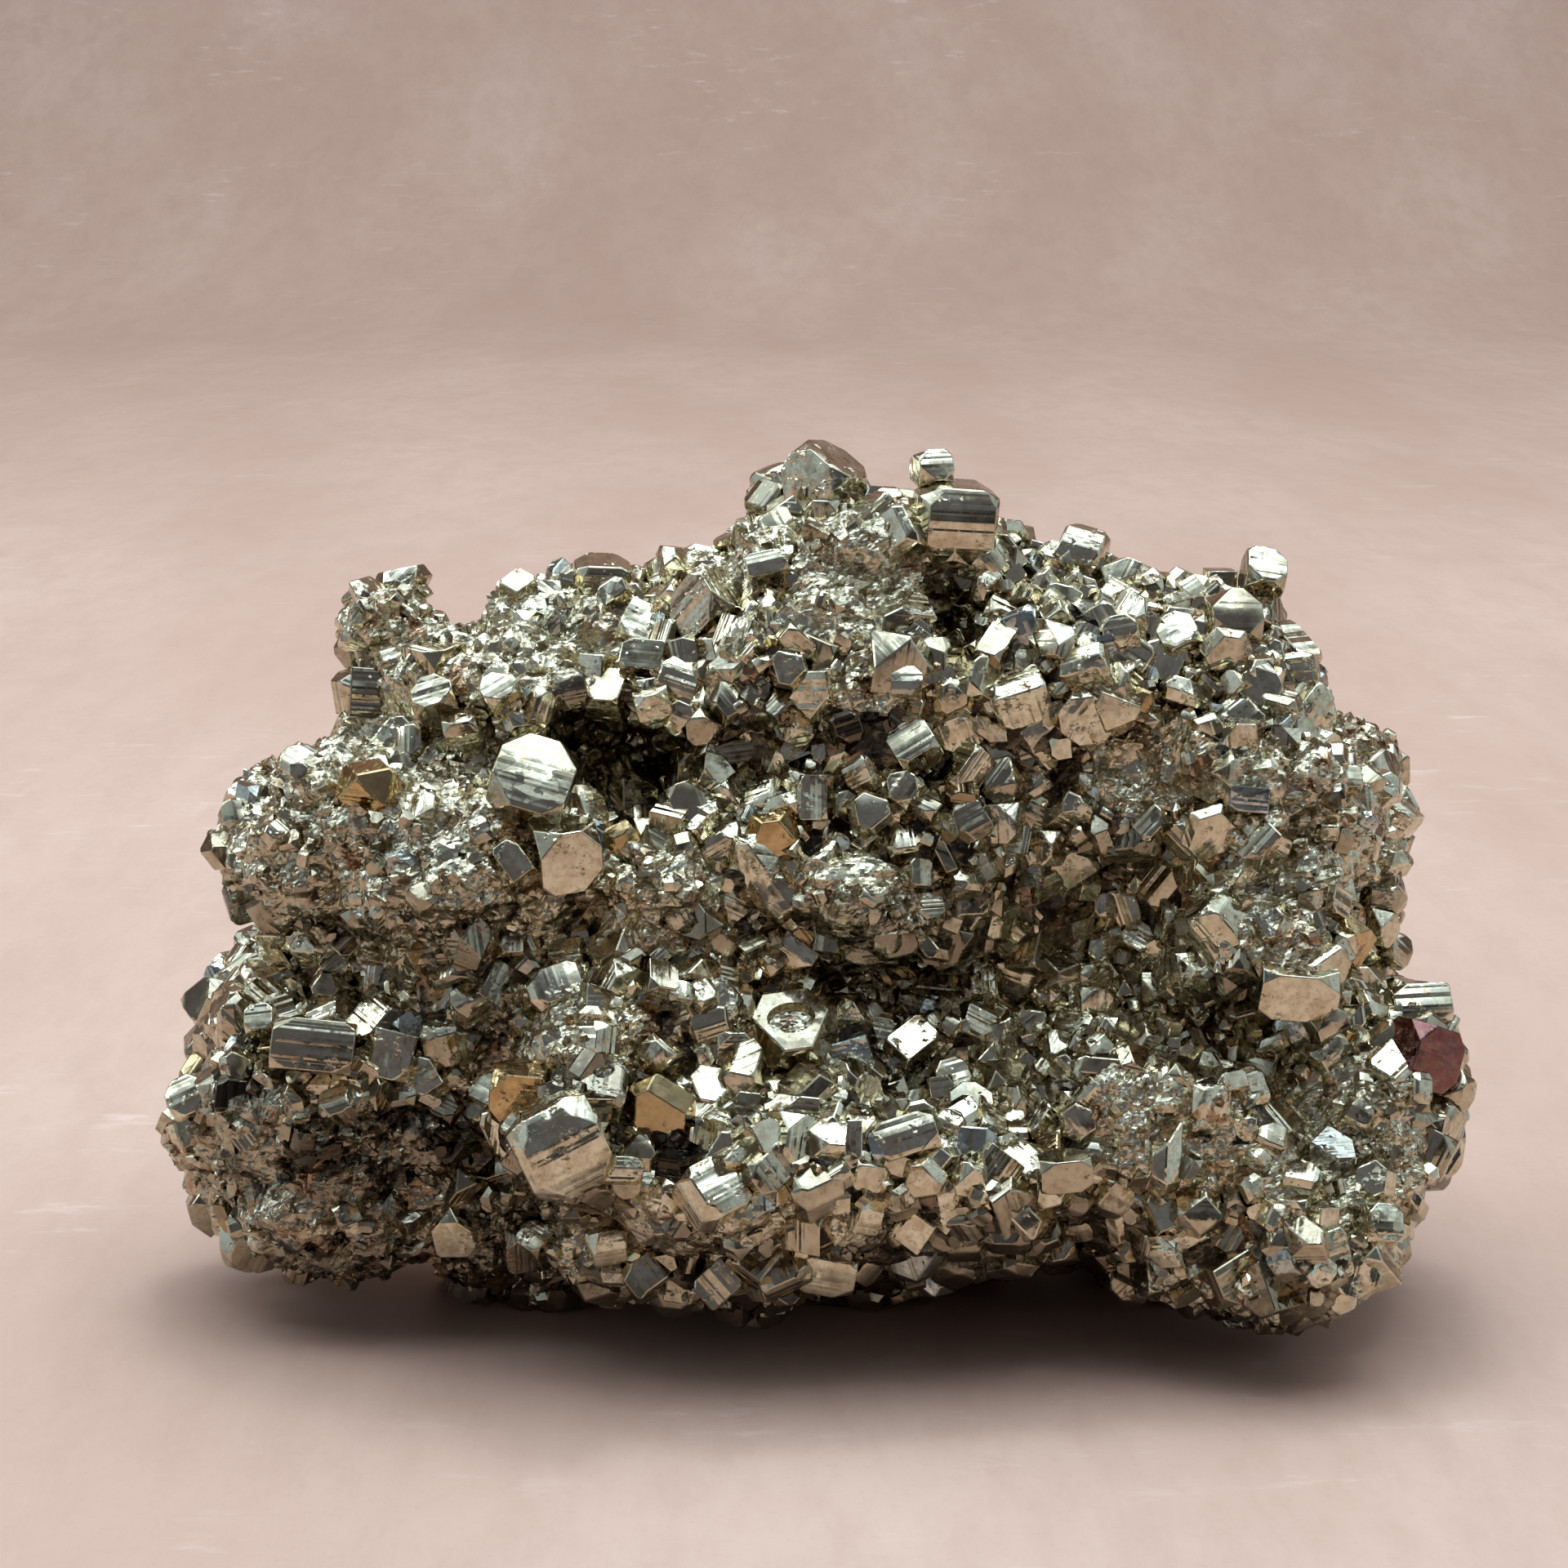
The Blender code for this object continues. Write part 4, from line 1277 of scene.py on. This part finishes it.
def named_crystals(seats, rng, np_rng, material):
    """The crystals that the solid has too, with softened edges."""
    batch = Batch()
    for index, (centre, half_width, turn, habit) in enumerate(seats):
        named = index < len(FRONT_CRYSTALS) or habit == "plate"
        bm = crystal_bmesh(habit, 1.0 if named else FILL_CORNERS, rng)
        softness = EDGE_SOFTNESS * MM / half_width
        bmesh.ops.bevel(
            bm, geom=bm.edges[:], offset=softness, segments=2, affect="EDGES", profile=0.5
        )
        bm.normal_update()
        if index in HOLLOWED:
            hollow_out(bm, turn.inverted(), *HOLLOWED[index])
        cut_at_floor(bm, centre, half_width, turn)
        if not bm.faces:
            continue
        kind = Kind(bm)
        bm.free()
        finish = FRONT_FINISHES.get(index, ())
        batch.add(kind, np.array(centre) + SHIFT, np.array(turn), half_width, np_rng, 0.0, *finish)
    return batch.build("large_crystals", material)


# ---------------------------------------------------------------- stage


def area_light(name, place, aim, size, radiance, colour, mirrored):
    """A soft box whose face has the given radiance, seen in mirror faces or not."""
    light = bpy.data.lights.new(name, "AREA")
    light.shape = "RECTANGLE"
    light.size, light.size_y = size
    light.energy = radiance * math.pi * size[0] * size[1]
    light.color = colour
    obj = bpy.data.objects.new(name, light)
    obj.location = place
    obj.rotation_euler = (Vector(aim) - Vector(place)).to_track_quat("-Z", "Y").to_euler()
    obj.visible_glossy = mirrored
    bpy.context.scene.collection.objects.link(obj)


def backdrop(material):
    """A floor that sweeps up far behind the specimen."""
    bm = bmesh.new()
    bend = [(FLOOR_END + SWEEP * math.sin(a), SWEEP - SWEEP * math.cos(a)) for a in SWEEP_ANGLES]
    profile = [(FLOOR_START, 0.0), (FLOOR_END, 0.0), *bend, (FLOOR_END + SWEEP, BACKDROP_TOP)]
    sides = (-BACKDROP_HALF_WIDTH, BACKDROP_HALF_WIDTH)
    rows = [[bm.verts.new((x, y, z)) for y, z in profile] for x in sides]
    for i in range(len(profile) - 1):
        bm.faces.new((rows[0][i], rows[1][i], rows[1][i + 1], rows[0][i + 1]))
    obj = mesh_object("floor", bm)
    obj.data.materials.append(material)
    obj.data.shade_smooth()


def world_light():
    """A dim room with pale light from above and behind."""
    world = bpy.data.worlds.new("room")
    bpy.context.scene.world = world
    world.use_nodes = True
    graph = Graph(world.node_tree)
    direction = graph.vector("NORMALIZE", graph.node("ShaderNodeTexCoord").outputs["Generated"])
    colour = ROOM_COLOUR
    for toward, start, end, glow in ROOM_GLOWS:
        near = graph.vector("DOT_PRODUCT", direction, Vector(toward).normalized())
        colour = graph.mix(graph.step(near, start, end), colour, glow)
    graph.tree.links.new(colour, world.node_tree.nodes["Background"].inputs["Color"])


def camera():
    data = bpy.data.cameras.new("camera")
    data.sensor_width = SENSOR
    data.lens = SENSOR * PIXELS_PER_MM * SHEET_DISTANCE / IMAGE_WIDTH
    data.clip_start = CLIP_START
    obj = bpy.data.objects.new("camera", data)
    obj.location = (SHEET_EYE + ORIGIN_SHIFT) * MM
    obj.rotation_euler = SHEET_FORWARD.to_track_quat("-Z", "Y").to_euler()
    bpy.context.scene.collection.objects.link(obj)
    bpy.context.scene.camera = obj


def stage():
    camera()
    world_light()
    for row in LIGHTS:
        area_light(*row)
    backdrop(floor_material())


def skin_of(fine):
    """The displaced mass, ready to draw places from."""
    mesh = bpy.data.meshes.new("skin")
    fine.to_mesh(mesh)
    skin = Skin(mesh)
    bpy.data.meshes.remove(mesh)
    return skin


def scattered(fine, seats, box, rng, np_rng):
    """Batches of the smaller crystals and of the grains, by the names of their pieces."""
    room = Room()
    for centre, half_width, _, _ in seats:
        room.take(tuple(np.array(centre) + SHIFT), half_width * SEAT_ROOM)
    skin = skin_of(fine)
    batches = {side + "_crystals": Batch() for side in SIDES}
    batches.update({side + "_grains": Batch(rarest=RARE_TINTS[1][0]) for side in SIDES})
    scatter(
        skin, room, CRYSTAL_SIZES, lambda bevel: crystal_kinds(bevel, rng),
        lambda share: 1 - FEWER_CRYSTALS * share,
        lambda at: batches[side_of(at) + "_crystals"], box, np_rng,
    )
    scatter(
        skin, room, GRAIN_SIZES, lambda bevel: grain_kinds(rng),
        lambda share: GRAINS_KEPT + MORE_GRAINS * share,
        lambda at: batches[side_of(at) + "_grains"], box, np_rng,
    )
    return batches


def specimen(box):
    """Every piece of the specimen, kept inside the solid's box."""
    rng = random.Random(SEED)
    np_rng = np.random.default_rng(SEED)
    noise.seed_set(SEED)
    mass = fused_mass()
    weather(mass)
    seats = front_seats(BVHTree.FromBMesh(mass))
    seats += fill_seats(mass, seats, rng)

    face = pyrite("crystal_face", **CRYSTAL_FINISH)
    grain = pyrite("granular", **GRANULAR_FINISH)
    pieces = [named_crystals(seats, rng, np_rng, face)]
    fine = displaced_mass(mass, box)
    pieces.append(mass_piece("front_mass", fine, 1, grain))
    pieces.append(mass_piece("back_mass", fine, -1, grain))
    for name, batch in scattered(fine, seats, box, rng, np_rng).items():
        pieces.append(batch.build(name, grain if "grains" in name else face))
    return pieces


def main():
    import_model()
    cad_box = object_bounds()
    stage()
    for piece in specimen(cad_box):
        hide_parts("pyrite_cluster")
        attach(piece, "root")
    bpy.context.scene.view_settings.view_transform = "Standard"


main()
